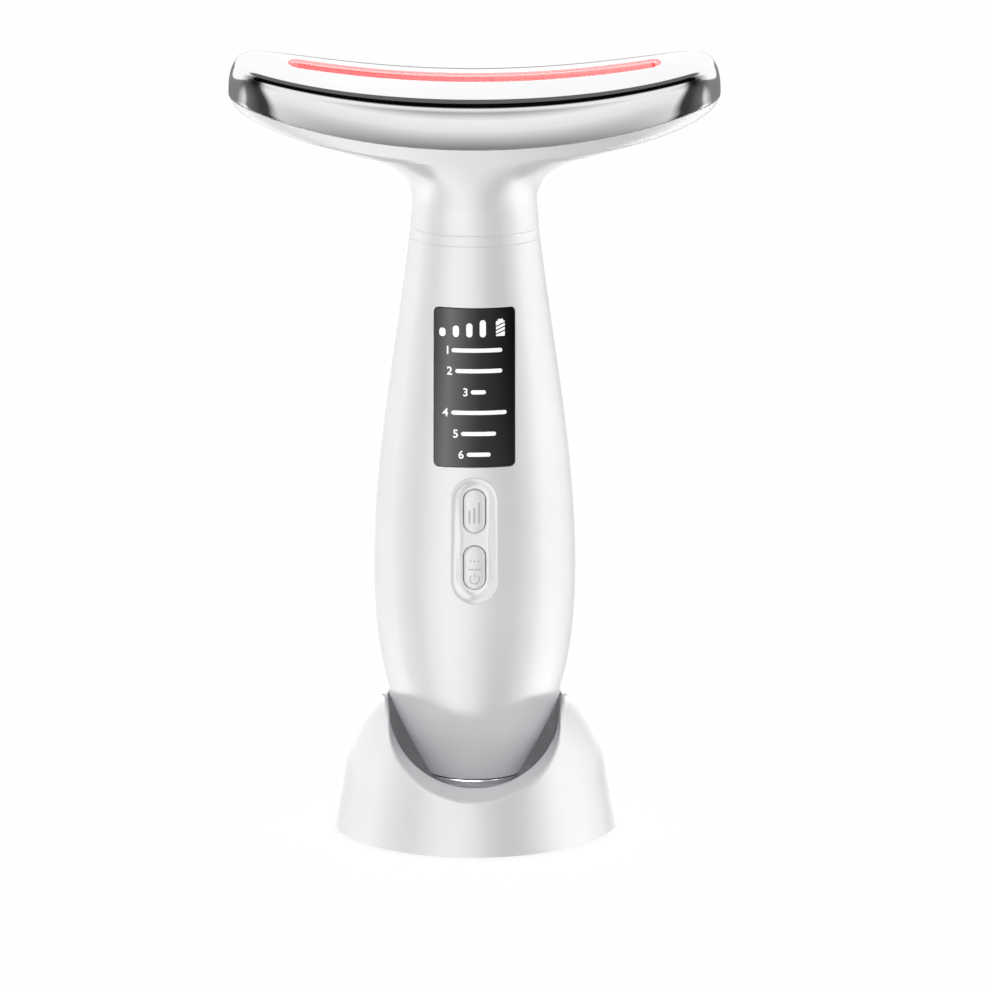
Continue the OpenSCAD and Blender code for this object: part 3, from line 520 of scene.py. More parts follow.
def piece(name, shape, finish_name, body, slot, *stands_for):
    """A closed mesh from points in millimetres, finished, and riding on its body.
    shape holds its points, its faces and, where they are known, its surface directions."""
    points, faces, *known = shape
    mesh = bpy.data.meshes.new(name)
    mesh.from_pydata((np.asarray(points) * MM).tolist(), [], [list(map(int, f)) for f in faces])
    mesh.materials.append(finish[finish_name])
    mesh.shade_smooth()
    if not known:
        mesh.set_sharp_from_angle(angle=SHARP_ANGLE)
    made = linked(name, mesh)
    if volume(points, faces) < 0:
        mesh.flip_normals()
    if known:
        keep_normals(mesh, *known)
    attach(made, body)
    if stands_for:
        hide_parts(*stands_for)
    return made


def volume(points, faces):
    """Signed volume, which is negative where the faces look inwards."""
    p = np.asarray(points, float)
    fans = np.array([(f[0], f[k], f[k + 1]) for f in faces for k in range(1, len(f) - 1)])
    a, b, c = p[fans[:, 0]], p[fans[:, 1]], p[fans[:, 2]]
    return float(np.sum(a * np.cross(b, c))) / 6


def keep_normals(mesh, normals):
    """Gives the points with a known surface direction that direction, and leaves the rest smooth."""
    found = [Vector(v.normal) if n is None else Vector(n) for v, n in zip(mesh.vertices, normals)]
    mesh.normals_split_custom_set_from_vertices(found)


def loft(rings, joined=False):
    """Quads between rings of equal length; joined also joins the last ring to the first."""
    rings = np.asarray(rings, float)
    m, n = rings.shape[:2]
    faces = [
        (j * n + i, j * n + (i + 1) % n, ((j + 1) % m) * n + (i + 1) % n, ((j + 1) % m) * n + i)
        for j in range(m if joined else m - 1)
        for i in range(n)
    ]
    return rings.reshape(-1, 3), faces


def capped(rings):
    """A loft whose first and last rings are closed by fans to their middles."""
    points, faces = loft(rings)
    n = len(rings[0])
    last = len(points) - n
    points = np.vstack([points, np.mean(rings[0], 0), np.mean(rings[-1], 0)])
    low, high = len(points) - 2, len(points) - 1
    faces += [(low, (i + 1) % n, i) for i in range(n)]
    faces += [(high, last + i, last + (i + 1) % n) for i in range(n)]
    return points, faces


# ---- Lofted head ----------------------------------------------------------

RING_N = 320
TIP, HALF_D = HEAD_W / 2, HEAD_D / 2
EDGE_BOW, CROWN_BOW = EDGE_RISE / TIP**2, CROWN_RISE / TIP**2
NECK_DEPTH = DEPTH_RATIO * NECK_R
OVAL_POWER, EDGE_POWER, CROWN_POWER = 2.0, 2.9, 4.5
DEPTH_POWER = 1.3
TIP_ROUND, PLATE_SEAM = 3.4, 0.05
SHOULDER_TURN = 71
FLANK_STEP, FLANK_BULGE = 0.12, 0.42
# Bearings of a ring's points, closer together at the tips
QUARTER = math.pi / 2 * np.linspace(0, 1, RING_N // 4 + 1) ** 1.7
HALF_TURN = np.concatenate([QUARTER[:-1], math.pi - QUARTER[:0:-1]])
RING_TURN = np.concatenate([HALF_TURN, math.pi + HALF_TURN])


def ring(a, b, power, z, bow, slot_share=0.0):
    """One ring of the head: a rounded oblong that bows up along its length. slot_share turns it
    toward the pill shape of the slot."""
    c = np.cos(RING_TURN)
    x = a * c
    oblong = b * np.maximum(1 - np.abs(c) ** power, 0) ** (1 / power)
    over = np.maximum(np.abs(x) - (a - b), 0)
    slot = np.sqrt(np.maximum(b * b - over * over, 0))
    y = np.sign(np.sin(RING_TURN)) * (oblong + (slot - oblong) * slot_share)
    return np.stack([x, y, SEAT_Z + z + bow * x * x], 1)


WAIST_Z = COLLAR_TOP + 4.9
UNDER = np.array([TIP - 20.1, WAIST_Z + 10.9])
NECK_CURVE = [
    (NECK_R, COLLAR_TOP),
    (NECK_R, COLLAR_TOP + 1.6),
    (NECK_R - 0.4, WAIST_Z - 1.5),
    (NECK_R - 0.3, WAIST_Z),
]
FILLET_CURVE = [NECK_CURVE[3], (NECK_CURVE[3][0], WAIST_Z + 5), UNDER - (9, 2.79), UNDER]
TIP_CURVE = [UNDER, UNDER + (10, 3.1), (TIP, EDGE_Z + EDGE_RISE - 4.3), (TIP, EDGE_Z + EDGE_RISE)]


def housing_line(steps):
    """Points and directions of the housing's outline seen from the front, from collar to tip."""
    points, dirs = [], []
    for p, count in zip((NECK_CURVE, FILLET_CURVE, TIP_CURVE), steps):
        t = np.linspace(0, 1, count + 1)
        t = t if p is TIP_CURVE else t[:-1]
        points.append(curve(p, t))
        dirs.append(curve_dir(p, t))
    return np.vstack(points), np.vstack(dirs)


def housing_ring(p, d, inset):
    """The ring of the housing at the outline's point p, whose direction is d, drawn in by inset."""
    share = max(p[0] - NECK_R, 0) / (TIP - NECK_R)
    bow = EDGE_BOW * share
    mid_z = p[1] - bow * p[0] ** 2
    up = max(mid_z - WAIST_Z, 0) / (EDGE_Z - WAIST_Z)
    depth = NECK_DEPTH + (HALF_D - NECK_DEPTH) * up**DEPTH_POWER
    depth -= inset * (DEPTH_RATIO + (1 - DEPTH_RATIO) * up)
    power = OVAL_POWER + (EDGE_POWER - OVAL_POWER) * min(2 * share, 1)
    return ring(p[0] - d[1] * inset, depth, power, mid_z + d[0] * inset, bow)


def head_housing():
    """The white housing from the collar out to the plate's edge, as a wall."""
    seam = 0.12
    points, dirs = housing_line((8, 40, 44))
    outer = [housing_ring(p, d, 0) for p, d in zip(points, dirs)]
    inner = [housing_ring(p, d, HEAD_WALL) for p, d in zip(points, dirs)]
    # The lower rim is broken by a small round, which draws the seam above the collar
    soft = [housing_ring(points[0] + (0, s), dirs[0], seam - s) for s in (0.0, 0.04)]
    outer = soft + [housing_ring(points[0] + (0, seam), dirs[0], 0)] + outer[1:]
    return loft(outer + inner[::-1], joined=True)


def plate_line(t, flank_steps, shoulder_steps, crown_steps):
    """The plate's cross-section as (inset from the edge, height): flank, shoulder and crown."""
    turn_end = math.radians(SHOULDER_TURN)
    flank_h = PLATE_H - CROWN_DROP - SHOULDER_R * math.sin(turn_end)
    r = SHOULDER_R - t
    shoulder_y = HALF_D - SHOULDER_R + r * math.cos(turn_end)
    slot_y = SLOT_W / 2
    line = [
        (t + FLANK_STEP * (1 - s) ** 2 - 4 * FLANK_BULGE * s * (1 - s), flank_h * s)
        for s in np.linspace(0, 1, flank_steps, endpoint=False)
    ]
    line += [
        (SHOULDER_R - r * math.cos(s), flank_h + r * math.sin(s))
        for s in np.linspace(0, turn_end, shoulder_steps, endpoint=False)
    ]
    line += [
        (HALF_D - y, PLATE_H - t - CROWN_DROP * (y / shoulder_y) ** 2)
        for y in np.linspace(shoulder_y, slot_y, crown_steps + 1)
    ]
    return line


def plate_ring(p):
    """The ring of the plate at the point p of its cross-section."""
    in_share = max(p[0], 0) / (HALF_D - SLOT_W / 2)
    h_share = p[1] / PLATE_H
    rounding = TIP_ROUND * h_share**3 * (1 - in_share)
    a = TIP - (TIP - SLOT_L / 2) * in_share - rounding
    bow = EDGE_BOW + (CROWN_BOW - EDGE_BOW) * h_share
    power = EDGE_POWER + (CROWN_POWER - EDGE_POWER) * h_share**2
    return ring(a, HALF_D - p[0], power, EDGE_Z + PLATE_SEAM + p[1], bow, in_share**3)


def head_plate():
    """The chromed plate, open at its slot and below."""
    return loft(
        [plate_ring(p) for p in plate_line(0, 16, 18, 26)]
        + [plate_ring(p) for p in plate_line(PLATE_T, 6, 6, 10)[::-1]],
        joined=True,
    )


def crown_z(x):
    """Height of the plate's crown."""
    return EDGE_Z + PLATE_SEAM + PLATE_H + CROWN_BOW * x * x


def light_bar():
    """The milky bar: a stem in the slot under a low dome that overlaps the plate and bows with it."""
    stem_l, stem_w, stem_h, sunk = SLOT_L / 2 - FIT, SLOT_W / 2 - FIT, 2.4, 0.06
    rings = [ring(stem_l, stem_w, 2, crown_z(0) - drop, CROWN_BOW, 1.0) for drop in (stem_h, sunk)]
    for turn in np.radians(np.linspace(0, 88, 14)):
        inset = DOME_HALF_W * (1 - math.cos(turn))
        up = DOME_H * math.sin(turn) - sunk
        rings.append(ring(SLOT_L / 2 - inset, DOME_HALF_W - inset, 2, crown_z(0) + up, CROWN_BOW, 1.0))
    points, faces = loft(rings)
    last = len(points) - RING_N
    half = RING_N // 2
    across = [(i, i + 1, RING_N - i - 1, (RING_N - i) % RING_N) for i in range(1, half - 1)]
    across += [(0, 1, RING_N - 1), (half - 1, half, half + 1)]
    faces += [f[::-1] for f in across] + [tuple(last + i for i in f) for f in across]
    return points, faces


# ---- Sheets over a flat outline, with holes and rounded edges -------------

# Distances in from an edge at which a sheet has points, as shares of the edge's radius
EDGE_ROWS = (0.0, 0.08, 0.3, 0.62, 1.0, 1.9)
# A sheet's grid: how far apart its rows are and how near it comes to the edge rows, in steps
GRID_ROW, GRID_CLEAR = 0.866, 0.55


def edge_drop(e, radius):
    """How far a quarter-round edge lies below the face, at the distance e in from it."""
    inside = np.clip(1 - e / radius, 0, 1) if radius > 0 else 0
    return radius * (1 - np.sqrt(1 - inside**2))


def dense(points, step):
    """A closed loop with its long sides cut into short ones."""
    out = []
    points = np.asarray(points, float)
    for a, b in zip(points, np.roll(points, -1, 0)):
        count = max(int(round(np.linalg.norm(b - a) / step)), 1)
        out.append(a + (b - a) * (np.arange(count) / count)[:, None])
    return np.vstack(out)


def pill_outline(w, h, step):
    """Outline of an upright pill as a function of how much it grows."""

    def points(grow=0.0):
        r = w / 2 + grow
        straight = (h - w) / 2
        turn = np.linspace(0, math.pi, max(int(math.pi * w / 2 / step), 12))
        rise = np.linspace(-straight, straight, max(int(2 * straight / step), 2) + 1)[1:-1]
        top = np.stack([r * np.cos(turn), straight + r * np.sin(turn)], 1)
        left = np.stack([np.full(len(rise), -r), rise[::-1]], 1)
        right = np.stack([np.full(len(rise), r), rise], 1)
        return np.vstack([top, left, -top, right])

    return points


def oblong_outline(w, h, r, step):
    """Outline of a rectangle with rounded corners as a function of how much it grows."""

    def points(grow=0.0):
        corner = max(r + grow, 0.02)
        x, z = w / 2 + grow - corner, h / 2 + grow - corner
        turn = np.linspace(0, math.pi / 2, 7)
        arc = np.stack([np.cos(turn), np.sin(turn)], 1) * corner
        loop = []
        for sx, sz, flip in ((1, 1, 1), (-1, 1, -1), (-1, -1, 1), (1, -1, -1)):
            loop.append((arc * (sx, sz))[::flip] + (sx * x, sz * z))
        return dense(np.vstack(loop), step)

    return points


def inside(points, loop):
    """Which of the points lie inside a closed loop."""
    x, y = points[:, 0:1], points[:, 1:2]
    a, b = loop, np.roll(loop, -1, 0)
    crosses = (a[:, 1] > y) != (b[:, 1] > y)
    with np.errstate(divide="ignore", invalid="ignore"):
        at = a[:, 0] + (y - a[:, 1]) / (b[:, 1] - a[:, 1]) * (b[:, 0] - a[:, 0])
    return (crosses & (x < at)).sum(1) % 2 == 1


def within(points, loops):
    """Which of the points lie inside the first loop and outside the others."""
    keep = inside(points, loops[0])
    for loop in loops[1:]:
        keep &= ~inside(points, loop)
    return keep


def loop_edges(start, count):
    """Edges of a closed loop of count points, whose first is number start."""
    return [(start + i, start + (i + 1) % count) for i in range(count)]


def triangles(flat, drops, edges, loops):
    """Fills the first loop less the others. Returns the flat points, edge drops and faces."""
    made, _, faces, origin, _, _ = delaunay_2d_cdt([Vector(p) for p in flat], edges, [], 0, 1e-6)
    made = np.array([list(p) for p in made])
    drop = np.array([drops[o[0]] if o else 0.0 for o in origin])
    middles = np.array([made[list(f)].mean(0) for f in faces])
    return made, drop, [tuple(f) for f, k in zip(faces, within(middles, loops)) if k]


def sheet_mesh(outer, holes, step, radii):
    """Triangles over an outline with holes. Returns flat points, edge drops and faces.

    outer and holes are outline functions, and radii the rounding of each.
    """
    flat, drops, edges, loops = [], [], [], []
    for k, (outline, radius) in enumerate(zip([outer, *holes], radii)):
        way = -1 if k == 0 else 1
        for share in EDGE_ROWS if radius > 0 else (0.0,):
            row = outline(way * share * radius)
            if share == 0.0:
                edges += loop_edges(len(flat), len(row))
                loops.append(row)
            drops += [edge_drop(share * radius, radius)] * len(row)
            flat += row.tolist()
    rows = np.array(flat)
    low, high = loops[0].min(0), loops[0].max(0)
    across, up = np.meshgrid(
        np.arange(low[0] + step / 2, high[0], step),
        np.arange(low[1] + step / 2, high[1], step * GRID_ROW),
    )
    across[1::2] += step / 2
    grid = np.stack([across.ravel(), up.ravel()], 1)
    grid = grid[within(grid, loops)]
    gap = np.array([np.min(np.sum((rows - g) ** 2, 1)) for g in grid])
    grid = grid[gap > (GRID_CLEAR * step) ** 2]
    return triangles(flat + grid.tolist(), drops + [0.0] * len(grid), edges, loops)


def solid_sheet(flat, faces, front, back):
    """A closed solid between front and back, two arrays of places for the same flat points.
    Returns its points, its faces and which of the places its points are."""
    n = len(flat)
    uses = {}
    for f in faces:
        for a, b in zip(f, f[1:] + f[:1]):
            uses[(a, b)] = True
    rim = [(a, b) for a, b in uses if (b, a) not in uses]
    solid = list(faces) + [tuple(n + i for i in reversed(f)) for f in faces]
    solid += [(b, a, n + a, n + b) for a, b in rim]
    used = sorted({i for f in solid for i in f})
    place = {old: new for new, old in enumerate(used)}
    points = np.vstack([front, back])[used]
    return points, [tuple(place[i] for i in f) for f in solid], used


# ---- Handle shells --------------------------------------------------------

# Width in millimetres given to one radian round the handle where its skin is laid out flat
FLAT_R = 18.0


def on_handle(flat, depth):
    """Places on the handle's front skin for flat points (turn times FLAT_R, height)."""
    turn, z = flat[:, 0] / FLAT_R, flat[:, 1]
    r = handle_r(z) - depth
    return np.stack([r * np.sin(turn), -DEPTH_RATIO * r * np.cos(turn), SEAT_Z + z], 1)


def handle_normal(flat):
    """Outward directions of the handle's front skin at those points."""
    turn, z = flat[:, 0] / FLAT_R, flat[:, 1]
    slope = (handle_r(z + 0.2) - handle_r(z - 0.2)) / 0.4
    n = np.stack([np.sin(turn) * DEPTH_RATIO, -np.cos(turn), -slope * DEPTH_RATIO], 1)
    return n / np.linalg.norm(n, axis=1)[:, None]


def to_skin(p):
    """Front-view points (x, height) as flat points of the skin."""
    return np.stack([np.arcsin(np.clip(p[:, 0] / handle_r(p[:, 1]), -1, 1)) * FLAT_R, p[:, 1]], 1)


def shell_outline(step, gap):
    """Outline of half the handle's skin, drawn in by a negative grow."""

    def points(grow=0.0):
        low, high = SHELL_Z - grow, SHELL_TOP + grow
        z = np.linspace(low, high, int((high - low) / step))
        side = (math.pi / 2 - (gap - grow) / (DEPTH_RATIO * handle_r(z))) * FLAT_R
        count = int(math.pi * FLAT_R / step)
        top = np.linspace(side[-1], -side[-1], count)[1:-1]
        bottom = np.linspace(-side[0], side[0], count)[1:-1]
        return np.vstack([
            np.stack([side, z], 1),
            np.stack([top, np.full(len(top), high)], 1),
            np.stack([-side[::-1], z[::-1]], 1),
            np.stack([bottom, np.full(len(bottom), low)], 1),
        ])

    return points


def moved(outline, z):
    """An outline function raised to the height z and laid on the skin."""
    return lambda grow=0.0: to_skin(outline(grow) + (0, z))


def skin_solid(outer, holes, step, radii, wall, sunk=0.0):
    """A wall of the handle over a flat outline, with its true surface directions kept."""
    flat, drop, faces = sheet_mesh(outer, holes, step, radii)
    front, back = on_handle(flat, drop + sunk), on_handle(flat, np.full(len(flat), wall))
    points, faces, used = solid_sheet(flat, faces, front, back)
    true = handle_normal(flat)
    n = len(flat)
    normals = [true[i] if i < n and drop[i] < 1e-6 else None for i in used]
    return points, faces, normals


def turned(points, normals):
    """The same piece on the rear of the handle."""
    flip = np.array([-1, -1, 1.0])
    return points * flip, [None if n is None else n * flip for n in normals]


window_outline = oblong_outline(WINDOW_W, WINDOW_H, WINDOW_R, 0.5)
dish_outline = pill_outline(DISH_W, DISH_H, 0.4)


def front_shell():
    """The front half of the handle, open for the window and the button surround."""
    holes = [moved(window_outline, WINDOW_Z), moved(dish_outline, DISH_Z)]
    return skin_solid(shell_outline(1.0, 0.03), holes, 1.0, (0.12, 0.15, 0.05), WALL)


def rear_shell():
    """The rear half of the handle, open for the charging inlet."""
    inlet_w, inlet_h, inlet_z = 9.2, 3.6, 28.0
    upright = pill_outline(inlet_h, inlet_w, 0.3)

    def inlet(grow=0.0):
        return to_skin(upright(grow)[:, ::-1] + (0, inlet_z))

    points, faces, normals = skin_solid(shell_outline(1.0, 0.03), [inlet], 1.0, (0.12, 0.25), WALL)
    points, normals = turned(points, normals)
    return points, faces, normals


def display_window():
    """The curved window, a hair below the skin round it."""
    outline = moved(oblong_outline(WINDOW_W - 2 * FIT, WINDOW_H - 2 * FIT, WINDOW_R, 0.5), WINDOW_Z)
    return skin_solid(outline, [], 0.8, (0.12,), WALL, sunk=WINDOW_SUNK)


def oval_ring(r, z, count):
    """A level ring of the handle's oval, at the height z above its foot."""
    turn = np.linspace(0, 2 * math.pi, count, endpoint=False)
    up = np.full(count, SEAT_Z + z)
    return np.stack([r * np.cos(turn), DEPTH_RATIO * r * np.sin(turn), up], 1)


def neck_collar():
    """The plain band between the shells and the head, with both edges broken."""
    rows = [(2.0, 0.0), (0.12, 0.0), (0.04, 0.03), (0.0, 0.12), (0.0, 0.7), (0.0, 1.3), (0.0, 1.86)]
    rows += [(0.04, 1.96), (0.12, 2.0), (2.0, 2.0)]
    rings = [oval_ring(handle_r(SHELL_TOP + up) - inset, SHELL_TOP + up, 240) for inset, up in rows]
    return loft(rings, joined=True)


# ---- Buttons --------------------------------------------------------------

DISH_FLOOR = -(front_y(DISH_Z) - DISH_DEEP)
SURROUND_BACK = DISH_FLOOR + 1.7
UPPER_Z, LOWER_Z = DISH_Z + BUTTON_PITCH / 2, DISH_Z - BUTTON_PITCH / 2
# Distances in from the dish's edge at which its cove has points
COVE_ROWS = (0.0, 0.12, 0.3, 0.55, 0.85, 1.15, 1.45, 1.7, 1.88, 2.0)
WELL_ROUND, CAP_ROUND, FACE_CROWN = 0.12, 0.55, 9.0


def button_surround():
    """A pill-shaped dish whose cove runs down to a floor with the two button wells."""
    cove = COVE_ROWS[-1]

    def waisted(grow):
        """The dish's outline drawn in, nipped at the middle as it nears the floor."""
        p = pill_outline(DISH_W - FIT, DISH_H - FIT, 0.35)(grow)
        share = np.clip(-grow / cove, 0, 1) ** 2
        nip = 1 - 0.12 * share * np.clip(1.6 - np.abs(p[:, 1]) / 1.6, 0, 1)
        return p * np.stack([nip, np.ones(len(p))], 1)

    flat, drops, edges, loops = [], [], [], []
    for e in COVE_ROWS:
        row = waisted(-e)
        if e == 0:
            edges += loop_edges(0, len(row))
            loops.append(row)
        share = e / cove
        drops += [share * share * (3 - 2 * share)] * len(row)
        flat += row.tolist()
    well = pill_outline(BUTTON_W, BUTTON_H, 0.3)
    for side in (1, -1):
        for share in EDGE_ROWS:
            row = well(BUTTON_GAP + share * WELL_ROUND) + (0, side * BUTTON_PITCH / 2)
            if share == 0:
                edges += loop_edges(len(flat), len(row))
                loops.append(row)
            drops += [1 + edge_drop(share * WELL_ROUND, WELL_ROUND)] * len(row)
            flat += row.tolist()
    made, drop, faces = triangles(flat, drops, edges, loops)
    x, z = made[:, 0], made[:, 1] + DISH_Z
    surface = -front_y(z, x)
    y = surface + (DISH_FLOOR - surface) * np.minimum(drop, 1) + np.maximum(drop - 1, 0)
    front = np.stack([x, y, SEAT_Z + z], 1)
    back = np.stack([x, np.full(len(x), SURROUND_BACK), SEAT_Z + z], 1)
    points, faces, _ = solid_sheet(made, faces, front, back)
    return points, faces


def button_face_y(x):
    """Depth of a button's crowned face."""
    return DISH_FLOOR - BUTTON_PROUD + FACE_CROWN - np.sqrt(FACE_CROWN**2 - x**2)


def button_cap(z0):
    """The pill-shaped push button whose middle is at the height z0."""
    flat, drop, faces = sheet_mesh(pill_outline(BUTTON_W, BUTTON_H, 0.25), [], 0.45, (CAP_ROUND,))
    x, z = flat[:, 0], flat[:, 1] + z0
    front = np.stack([x, button_face_y(x) + drop, SEAT_Z + z], 1)
    back = np.stack([x, np.full(len(x), SURROUND_BACK + 0.6), SEAT_Z + z], 1)
    points, faces, _ = solid_sheet(flat, faces, front, back)
    return points, faces


# ---- Marks ----------------------------------------------------------------


def mark(outline, holes, step, place):
    """A thin printed mark over a flat outline. place gives where (x, height) points lie at a depth."""
    flat, _, faces = sheet_mesh(outline, holes, step, [0.0] * (1 + len(holes)))
    points, faces, _ = solid_sheet(flat, faces, place(flat, -MARK_PROUD), place(flat, MARK_SUNK))
    return points, faces


def on_window(p, depth):
    """Places in the window's face, depth below it."""
    return on_handle(to_skin(p + (0, WINDOW_Z)), np.full(len(p), WINDOW_SUNK + depth))


def fixed(points):
    """A loop of points as an outline function that doesn't grow."""
    points = np.asarray(points, float)
    return lambda grow=0.0: points


def at(outline, x, z):
    """An outline function moved across and up."""
    return lambda grow=0.0: outline(grow) + (x, z)


def lying(outline):
    """An upright outline function laid on its side."""
    return lambda grow=0.0: outline(grow)[:, ::-1] * (1, -1)


def block(x, half, low, high, step=0.3):
    """An upright rectangle, half wide to each side of x."""
    return fixed(dense([(x - half, low), (x + half, low), (x + half, high), (x - half, high)], step))


def numeral(figure, height):
    """Outlines of a plain numeral, height tall and centred: the outer loop, then its holes."""
    text = bpy.data.curves.new("numeral", "FONT")
    text.body = figure
    text.align_x = text.align_y = "CENTER"
    text.offset = FIGURE_WEIGHT
    text.resolution_u = 6
    holder = linked("numeral", text)
    mesh = bpy.data.meshes.new_from_object(holder.evaluated_get(bpy.context.evaluated_depsgraph_get()))
    co = np.array([v.co[:2] for v in mesh.vertices])
    uses = {}
    for polygon in mesh.polygons:
        for key in polygon.edge_keys:
            uses[key] = uses.get(key, 0) + 1
    links = {}
    for (a, b), count in uses.items():
        if count == 1:
            links.setdefault(a, []).append(b)
            links.setdefault(b, []).append(a)
    loops = []
    while links:
        start = next(iter(links))
        loop, last, now = [start], None, start
        while True:
            ahead = [v for v in links[now] if v != last]
            last, now = now, ahead[0]
            if now == start:
                break
            loop.append(now)
        for v in loop:
            del links[v]
        loops.append(co[loop])
    bpy.data.objects.remove(holder)
    bpy.data.meshes.remove(mesh)
    bpy.data.curves.remove(text)
    low = np.min([l.min(0) for l in loops], 0)
    high = np.max([l.max(0) for l in loops], 0)
    scale = height / (high[1] - low[1])
    loops = [(l - (low + high) / 2) * scale for l in loops]
    return sorted(loops, key=lambda l: -np.ptp(l[:, 0]) * np.ptp(l[:, 1]))


def joined(parts):
    """Several meshes as one."""
    points, faces, count = [], [], 0
    for p, f in parts:
        points.append(p)
        faces += [tuple(i + count for i in face) for face in f]
        count += len(p)
    return np.vstack(points), faces


# Level bars, as (middle, top) with a common foot, and the six rows, as (height, full width)
BAR_W, BAR_FOOT = 1.2, 9.87
LEVEL_BARS = [(-6.2, 11.55), (-3.6, 12.1), (-1.0, 12.6), (1.6, 13.2)]
ROWS = [(7.3, 10.7), (3.3, 10.7), (-0.8, 4.4), (-4.8, 12.4), (-8.9, 8.3), (-12.95, 6.2)]
FIGURE_H, DASH_H, FIGURE_GAP = 1.6, 0.8, 0.6
FIGURE_WEIGHT = 0.018
# A dot is a pill with next to no straight, which keeps its points apart
DOT_W, DOT_STRAIGHT = 0.36, 0.0001


def level_bars():
    """Four level bars, each taller than the last."""
    parts = []
    for x, top in LEVEL_BARS:
        bar = at(pill_outline(BAR_W, top - BAR_FOOT, 0.25), x, (top + BAR_FOOT) / 2)
        parts.append(mark(bar, [], 0.5, on_window))
    return joined(parts)


def battery_mark():
    """A charge gauge: a can with a stepped top, cut by three slanting gaps."""
    x0, half, foot, top, lean, gap = 5.0, 0.85, 10.0, 13.3, 0.7, 0.24
    cap_half, cap_h, step_h = 0.5, 0.42, 0.12
    ends = [foot, *[c + s for c in (10.75, 11.5, 12.25) for s in (-gap / 2, gap / 2)], None]
    parts = []
    for low, high in zip(ends[0::2], ends[1::2]):
        fall = 0 if low == foot else lean / 2
        loop = [(-half, low - fall), (half, low + fall)]
        if high is None:
            side = top - cap_h
            loop += [(half, side), (cap_half, side + step_h), (cap_half, top)]
            loop += [(-cap_half, top), (-cap_half, side + step_h), (-half, side)]
        else:
            loop += [(half, high + lean / 2), (-half, high - lean / 2)]
        parts.append(mark(at(fixed(dense(loop, 0.4)), x0, 0), [], 0.4, on_window))
    return joined(parts)


def row_marks(k):
    """One display row: a plain numeral and a dash, together as wide as the row."""
    z, width = ROWS[k]
    loops = numeral(str(k + 1), FIGURE_H)
    figure_w = np.ptp(loops[0][:, 0])
    x = -width / 2 + figure_w / 2
    outer, *holes = [at(fixed(loop), x, z) for loop in loops]
    parts = [mark(outer, holes, 0.5, on_window)]
    start = -width / 2 + figure_w + FIGURE_GAP
    dash = at(lying(pill_outline(DASH_H, width / 2 - start, 0.2)), (start + width / 2) / 2, z)
    parts.append(mark(dash, [], 0.5, on_window))
    return joined(parts)


def on_button(z0):
    """Places in the face of the button at the height z0."""

    def place(p, depth):
        return np.stack([p[:, 0], button_face_y(p[:, 0]) + depth, SEAT_Z + z0 + p[:, 1]], 1)

    return place


def level_button_marks():
    """Three bars of rising height on the upper button."""
    parts = []
    for x, top in ((-1.0, 0.3), (-0.05, 0.8), (0.88, 1.9)):
        parts.append(mark(block(x, 0.19, -2.3, top), [], 0.3, on_button(UPPER_Z)))
    return joined(parts)


def mode_button_marks():
    """Three dots, a line and a power sign on the lower button."""
    place = on_button(LOWER_Z)
    dot = pill_outline(DOT_W, DOT_W + DOT_STRAIGHT, 0.1)
    parts = [mark(at(dot, x, 1.45), [], 0.3, place) for x in (-0.75, 0, 0.75)]
    parts.append(mark(block(0, 1.28, -0.36, -0.14), [], 0.3, place))
    # The power sign: an open ring with a stroke in its gap
    middle, r, t = -2.15, 1.02, 0.2
    turn = np.radians(np.linspace(128, 412, 40))
    arc = [(r * math.cos(a), middle + r * math.sin(a)) for a in turn]
    arc += [((r - t) * math.cos(a), middle + (r - t) * math.sin(a)) for a in turn[::-1]]
    parts.append(mark(fixed(arc), [], 0.3, place))
    parts.append(mark(block(0, t / 2, middle + 0.15, middle + 1.2, 0.2), [], 0.3, place))
    return joined(parts)


# ---- Foot -----------------------------------------------------------------

SPIGOT_TOP = 5.6


def cooling_foot():
    """The metal cap: flat below, a soft lower edge, a plain band and a spigot into the shells."""
    r = FOOT_R - FIT
    rows = [(0.01, 0.0), (r - 1.2, 0.0), (r - 0.62, 0.05), (r - 0.3, 0.2), (r - 0.08, 0.48), (r, 0.85)]
    rows += [(r, 1.5), (r, 2.3), (r - 0.05, 2.5), (r - 0.15, CAP_H)]
    rows += [(r - 1.8, CAP_H), (r - 1.8, SPIGOT_TOP), (0.01, SPIGOT_TOP)]
    return capped([oval_ring(radius, z, 200) for radius, z in rows])


# ---- Stand ----------------------------------------------------------------

STAND_R, STAND_LIFT, STAND_WALL = 27.8, 0.5, 2.0
DOME_R, DOME_Z, RIM_Z = 26.2, 7.2, 25.8
SKIRT_Z = DOME_Z + 4.8
POCKET_Z, POCKET_R, SEAT_DEEP, POCKET_GAP = 8.3, 15.3, 0.8, 0.4
RIM_R = float(handle_r(RIM_Z - SEAT_Z)) + POCKET_GAP
SCOOP_R, SCOOP_Z, SCOOP_SIDE_Z, HORN_R = 16.6, 11.1, 23.0, 2.0
STAND_N, SECTION_N = 480, 120
LIP_ROUND, POCKET_ROUND, SEAT_FIT = 0.9, 0.5, 0.3
# Length in millimetres that a turn of one radian counts for where points are spaced along a section
TURN_WEIGHT = 2.2


def dome_r(z, inset=0.0):
    """Radius of the stand's outside at the height z."""
    r = DOME_R - inset
    if z < SKIRT_Z:
        share = (z - STAND_LIFT) / (SKIRT_Z - STAND_LIFT)
        skirt_r = math.sqrt(r**2 - (SKIRT_Z - DOME_Z) ** 2)
        return STAND_R - inset + (skirt_r - STAND_R + inset) * share
    return math.sqrt(r**2 - (z - DOME_Z) ** 2)


def pocket_wall(z, grow=0.0):
    """Radius of the pocket at the height z."""
    return POCKET_R + grow + (RIM_R - POCKET_R) * (z - POCKET_Z) / (RIM_Z - POCKET_Z)


